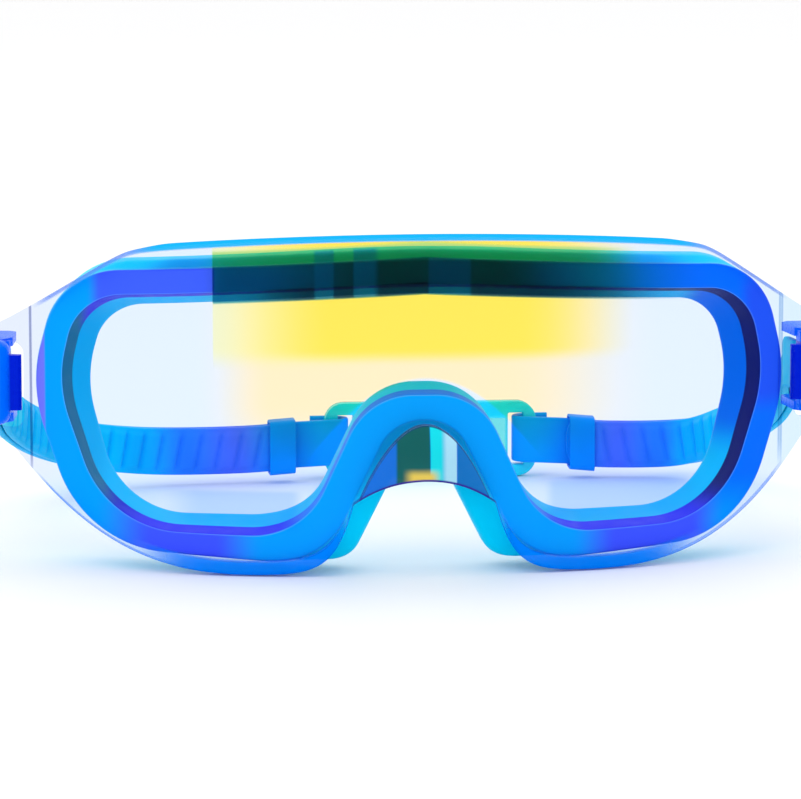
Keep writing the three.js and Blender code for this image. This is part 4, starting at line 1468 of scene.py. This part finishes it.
@dataclass
class Strap:
    """One half of the strap with its keeper, from the clip's bar round to the clasp."""

    form: MaskForm
    side: Side
    clip: SideClip
    clasp: RearClasp
    height: float = 10.6
    thickness: float = 1.5
    layer_gap: float = 0.4
    loop_half_width: float = 84.0
    loop_depth: float = 127.0
    loop_corner: float = 30.0
    skew: float = 15.0
    sag: float = 1.1
    tail_short: float = 0.5
    turn_room: float = 6.0
    tab: float = 4.5
    keeper_length: float = 6.0
    keeper_wall: float = 0.6
    keeper_from_end: float = 0.6
    rib_height: float = 0.55
    rib_pitch: float = 4.6
    rib_slant: float = 0.22
    tip_radius: float = 3.2
    edge_radius: float = 0.45
    spread_over: float = 14.0
    tail_ribs_rise: Span = (4.0, 8.0)
    tail_ribs_fade: Span = (-19.0, -16.0)
    main_ribs_rise: Span = (20.0, 24.0)
    main_ribs_fade: Span = (58.0, 62.0)
    keeper_slack: float = 1.2
    keeper_corner: float = 0.8
    keeper_edge: float = 0.42
    step: float = 0.5

    @property
    def band(self) -> float:
        """The strap's thickness and the gap to its next layer."""
        return self.thickness + self.layer_gap

    @property
    def bar_turn(self) -> float:
        """Radius of the strap's turn round the clip's bar."""
        return self.clip.strap_bar_radius + GAP + self.thickness / 2.0

    @property
    def clasp_turn(self) -> float:
        """Radius of the strap's turn round the clasp's end bar."""
        half_bar = math.hypot(self.clasp.bar, self.clasp.thickness) / 2.0
        return half_bar + GAP + self.thickness / 2.0

    @property
    def clasp_y(self) -> float:
        """The clasp's depth."""
        return self.loop_depth + self.band / 2.0 + self.clasp_turn

    @property
    def turn_reach(self) -> float:
        """How far short of the route's end the strap leaves it for the clasp's bar."""
        return self.turn_room + self.clasp.bar

    def route(self) -> Route:
        """The line midway between the strap's two layers, from the clip to the clasp.

        Each row of the plan is a point and the share of the skew that it takes.

        Returns:
            The line.
        """
        half, rear, corner = self.clasp.length / 2.0, self.loop_depth, self.loop_corner
        start_x, start_y = self.clip.point(self.clip.length + 1.0, 0.0)
        middle = self.clasp.height / 2.0
        wide = self.loop_half_width
        plan = np.array(
            [
                (start_x, start_y, self.clip.middle_z, 0.0),
                (wide, rear * 0.62, 23.5, 0.1),
                (wide - corner * 0.3, rear - corner * 0.66, 13.2, 0.3),
                (wide - corner * 0.72, rear - corner * 0.16, 8.4, 0.66),
                ((wide - corner + half) * 0.54, rear - 0.6, middle - self.sag, 0.88),
                (half + self.turn_room, rear, middle - self.sag / 3.0, 0.98),
                (half - self.clasp.bar, rear, middle, 1.0),
            ]
        )
        x = self.side.value * plan[:, 0] + self.skew * plan[:, 3]
        return Route(np.column_stack([x, plan[:, 1], plan[:, 2]]))

    def layer_offset(self, distance: Array) -> Array:
        """How far a layer lies from the route: wide at the clip's bar, then half the band."""
        wide, close = self.bar_turn, self.band / 2.0
        return wide + (close - wide) * smoothstep(0.0, self.spread_over, distance)

    def line(self) -> tuple[Array, Array, Array]:
        """The strap's own middle line: tail, turn at the clip, main run, turn at the clasp, tab.

        Returns:
            Points, each point's place along the route from 0 to 1, and its distance along the
            strap from the tail's end.
        """
        route, side = self.route(), self.side
        turn = np.linspace(0.0, 1.0, 40)
        main_end = route.length - self.turn_reach
        tail_at = np.linspace(main_end - self.tail_short, 0.0, 600)
        tail = route.place(tail_at, -self.layer_offset(tail_at), 0.0, side)
        main_at = np.linspace(0.0, main_end, 600)
        main = route.place(main_at, self.layer_offset(main_at), 0.0, side)
        bar_x, bar_y = self.clip.point(self.clip.strap_bar_x, 0.0)
        start = math.pi / 2.0 + side.value * math.radians(self.clip.turn_degrees + 90.0)
        angle = start + side.value * math.pi * turn
        radius = self.bar_turn
        front_turn = np.column_stack(
            [
                side.value * bar_x + radius * np.cos(angle),
                bar_y + radius * np.sin(angle),
                np.full(len(turn), self.clip.middle_z),
            ]
        )
        rear_x, rear_z = side.value * self.clasp.bar_x + self.skew, self.clasp.height / 2.0
        angle = -math.pi / 2.0 - side.value * math.pi * turn
        radius = self.clasp_turn
        rear_turn = np.column_stack(
            [
                rear_x + radius * np.cos(angle),
                self.clasp_y + radius * np.sin(angle),
                np.full(len(turn), rear_z),
            ]
        )
        tab_at = np.linspace(0.0, self.tab, 12)[1:]
        tab = np.column_stack(
            [
                rear_x + side.value * tab_at,
                np.full(len(tab_at), self.clasp_y + radius),
                np.full(len(tab_at), rear_z),
            ]
        )
        points = np.vstack([tail, front_turn, main, rear_turn, tab])
        ones = np.ones(len(turn) + len(tab_at))
        run = np.concatenate([tail_at / route.length, turn * 0.0, main_at / route.length, ones])
        steps = np.linalg.norm(np.diff(points, axis=0), axis=1)
        reach = np.concatenate([[0.0], np.cumsum(steps)])
        keep = np.concatenate([[True], steps > 1e-6])
        points, run, reach = points[keep], run[keep], reach[keep]
        even = np.linspace(0.0, reach[-1], int(reach[-1] / self.step))
        fine = np.stack([np.interp(even, reach, points[:, axis]) for axis in range(3)], axis=-1)
        return fine, np.interp(even, reach, run), even

    def strap_solid(self) -> Solid:
        """The strap: a round-edged band on its middle line, with ribs on the turn's outer face.

        A rib's height is a rounded pulse of the distance along the strap plus a slant times the
        height on the band. Ribs stop at the tip, inside the clip, and part of the way along the
        main run.
        The tail's end is a half round in height.

        Returns:
            The solid, with the marks "run" and "valley".
        """
        line, run, reach = self.line()
        ahead = np.gradient(line, axis=0)
        out = np.stack([ahead[:, 1], -ahead[:, 0], np.zeros(len(line))], axis=-1)
        out *= self.side.value / np.linalg.norm(out, axis=1, keepdims=True)
        half_t, half_h = self.thickness / 2.0, self.height / 2.0
        signs = np.array([(-1.0, -1.0), (1.0, -1.0), (1.0, 1.0), (-1.0, 1.0)])
        corners = signs * (half_t, half_h)
        outline, place = rounded_outline(corners, [self.edge_radius] * 4, 4, [2, 22, 2, 6])
        tip = np.clip(self.tip_radius - reach, 0.0, self.tip_radius)
        shrink = self.tip_radius - np.sqrt(self.tip_radius**2 - tip**2)
        tall = 1.0 - shrink / half_h
        up = outline[None, :, 1] * tall[:, None]
        turn_at = float(reach[np.argmin(run)])
        from_turn = reach - turn_at
        on_tail = smoothstep(*self.tail_ribs_rise, reach)
        on_tail *= 1.0 - smoothstep(*self.tail_ribs_fade, from_turn)
        on_main = smoothstep(*self.main_ribs_rise, from_turn)
        on_main *= 1.0 - smoothstep(*self.main_ribs_fade, from_turn)
        ribbed = np.where(from_turn < 0.0, on_tail, on_main)
        phase = ((reach[:, None] + self.rib_slant * up) / self.rib_pitch) % 1.0
        pulse = smoothstep(0.0, 0.2, phase) * (1.0 - smoothstep(0.8, 1.0, phase))
        face = smoothstep(0.1, 0.22, place - 1.0) * (1.0 - smoothstep(0.78, 0.9, place - 1.0))
        raised = self.rib_height * ribbed[:, None] * pulse * face[None, :]
        away = outline[None, :, 0] + raised
        sections = line[:, None, :] + out[:, None, :] * away[..., None]
        sections[..., 2] += up
        marks = {
            "run": np.broadcast_to(run[:, None], away.shape),
            "valley": ribbed[:, None] * (1.0 - pulse) * face[None, :],
        }
        return lofted(sections, marks=marks)

    def keeper_solid(self) -> Solid:
        """The keeper: a wall's round-edged section carried round a round-cornered rectangle.

        Returns:
            The solid, with the marks "run" and "valley".
        """
        route, wall = self.route(), self.keeper_wall
        end = route.length - self.turn_reach - self.tail_short - self.keeper_from_end
        inside = 2.0 * self.thickness + self.layer_gap + 2.0 * GAP + self.keeper_slack
        half = np.array([inside / 2.0, self.height / 2.0 + GAP])
        around = rounded_rectangle(-half, half, self.keeper_corner)
        ahead = np.roll(around, -1, axis=0) - np.roll(around, 1, axis=0)
        normal = np.column_stack([ahead[:, 1], -ahead[:, 0]])
        normal /= np.linalg.norm(normal, axis=1, keepdims=True)
        start = end - self.keeper_length
        wall_section = rounded_rectangle((start, 0.0), (end, wall), self.keeper_edge)
        away = around[:, None, 0] + normal[:, None, 0] * wall_section[None, :, 1]
        up = around[:, None, 1] + normal[:, None, 1] * wall_section[None, :, 1]
        distance = np.broadcast_to(wall_section[None, :, 0], away.shape)
        sections = route.place(distance, away, up, self.side)
        run = np.full(away.shape, end / route.length)
        return lofted(sections, closed=True, marks={"run": run, "valley": run * 0.0})

    def build(self) -> list[bpy.types.Object]:
        """Builds and dresses the strap half and its keeper."""
        word, made = self.side.word, []
        finish = StrapSilicone().material()
        for name, node, solid in (
            (f"{word}_ribbed_strap", f"{word}_strap", self.strap_solid()),
            (f"{word}_tail_keeper", f"{word}_keeper", self.keeper_solid()),
        ):
            mesh = make_mesh(name, solid, self.form.shift_y)
            smooth_shading(mesh, 50.0)
            piece = make_object(name, mesh)
            dress(piece, finish)
            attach(piece, self.side.body)
            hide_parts(node)
            made.append(piece)
        return made


# ---------------------------------------------------------------- studio


@dataclass
class Studio:
    """A white table and backdrop, soft lights and the camera."""

    form: MaskForm
    azimuth: float = -6.064
    elevation: float = 7.829
    distance: float = 880.0
    aim_z: float = 34.5
    lens: float = 197.75
    shift: tuple[float, float] = (-0.0311, 0.0081)
    floor_size: float = 40.0
    sky: float = 1.05
    key_watts: float = 2.4
    top_watts: float = 2.4

    def camera(self) -> bpy.types.Object:
        """Makes the camera, looking at the middle of the lens."""
        data = bpy.data.cameras.new("camera")
        data.lens, data.sensor_width = self.lens, SENSOR_WIDTH
        data.shift_x, data.shift_y = self.shift
        turn, lift = math.radians(self.azimuth), math.radians(self.elevation)
        level = math.cos(lift)
        back = np.array([math.sin(turn) * level, -math.cos(turn) * level, math.sin(lift)])
        aim = np.array([0.0, self.form.shift_y, self.aim_z])
        camera = bpy.data.objects.new("camera", data)
        camera.location = (aim + back * self.distance) * MM
        camera.rotation_euler = (math.pi / 2.0 - lift, 0.0, turn)
        bpy.context.scene.collection.objects.link(camera)
        bpy.context.scene.camera = camera
        return camera

    def lamp(self, name: str, place: Triple, size: float, power: float) -> bpy.types.Object:
        """A square soft light that faces the mask.

        Args:
            name: Its name.
            place: Where it hangs, in metres.
            size: Its side, in metres.
            power: Its power, in watts.

        Returns:
            The light.
        """
        data = bpy.data.lights.new(name, "AREA")
        data.size, data.energy = size, power
        lamp = bpy.data.objects.new(name, data)
        lamp.location = place
        back = lamp.location.normalized()
        lamp.rotation_euler = back.to_track_quat("Z", "Y").to_euler()
        bpy.context.scene.collection.objects.link(lamp)
        return lamp

    def build(self) -> None:
        """Makes the camera, the lights, the sky and the floor."""
        self.camera()
        self.lamp("key", (-0.5, -0.7, 1.1), 0.8, self.key_watts)
        self.lamp("top", (0.2, 0.3, 1.3), 1.0, self.top_watts)
        world = bpy.data.worlds.new("sky")
        world.use_nodes = True
        sky = world.node_tree.nodes["Background"]
        sky.inputs["Color"].default_value = (1.0, 1.0, 1.0, 1.0)
        sky.inputs["Strength"].default_value = self.sky
        bpy.context.scene.world = world
        bpy.context.scene.view_settings.view_transform = "Standard"
        half = self.floor_size / 2.0
        mesh = bpy.data.meshes.new("floor")
        mesh.from_pydata(
            [(-half, -half, 0.0), (half, -half, 0.0), (half, half, 0.0), (-half, half, 0.0)],
            [],
            [(0, 1, 2, 3)],
        )
        floor = make_object("floor", mesh)
        recipe = Recipe("white_table")
        paper = recipe.principled(Base_Color=(0.93, 0.93, 0.935, 1.0), Roughness=0.6)
        dress(floor, recipe.done(paper))
        floor.location.z = -TABLE_DROP


# ---------------------------------------------------------------- assembly


def main(frame: dict) -> None:
    """Builds the studio and the mask round the frame.
    """
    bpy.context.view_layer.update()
    nodes = frame["nodes"]
    form = MaskForm(shift_y=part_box("front_shell")[0].y / MM + FrontShell.bridge_bulge)
    Studio(form).build()
    FrontShell(form).build()
    FaceSkirt(form).build()
    clasp = RearClasp(nodes)
    clasp.build()
    for side in Side:
        clip = SideClip(form, side, nodes)
        clip.build()
        Strap(form, side, clip, clasp).build()
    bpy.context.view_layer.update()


if __name__ == "__main__":
    logging.basicConfig(level=logging.INFO, format="%(name)s: %(message)s")
    main(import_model())
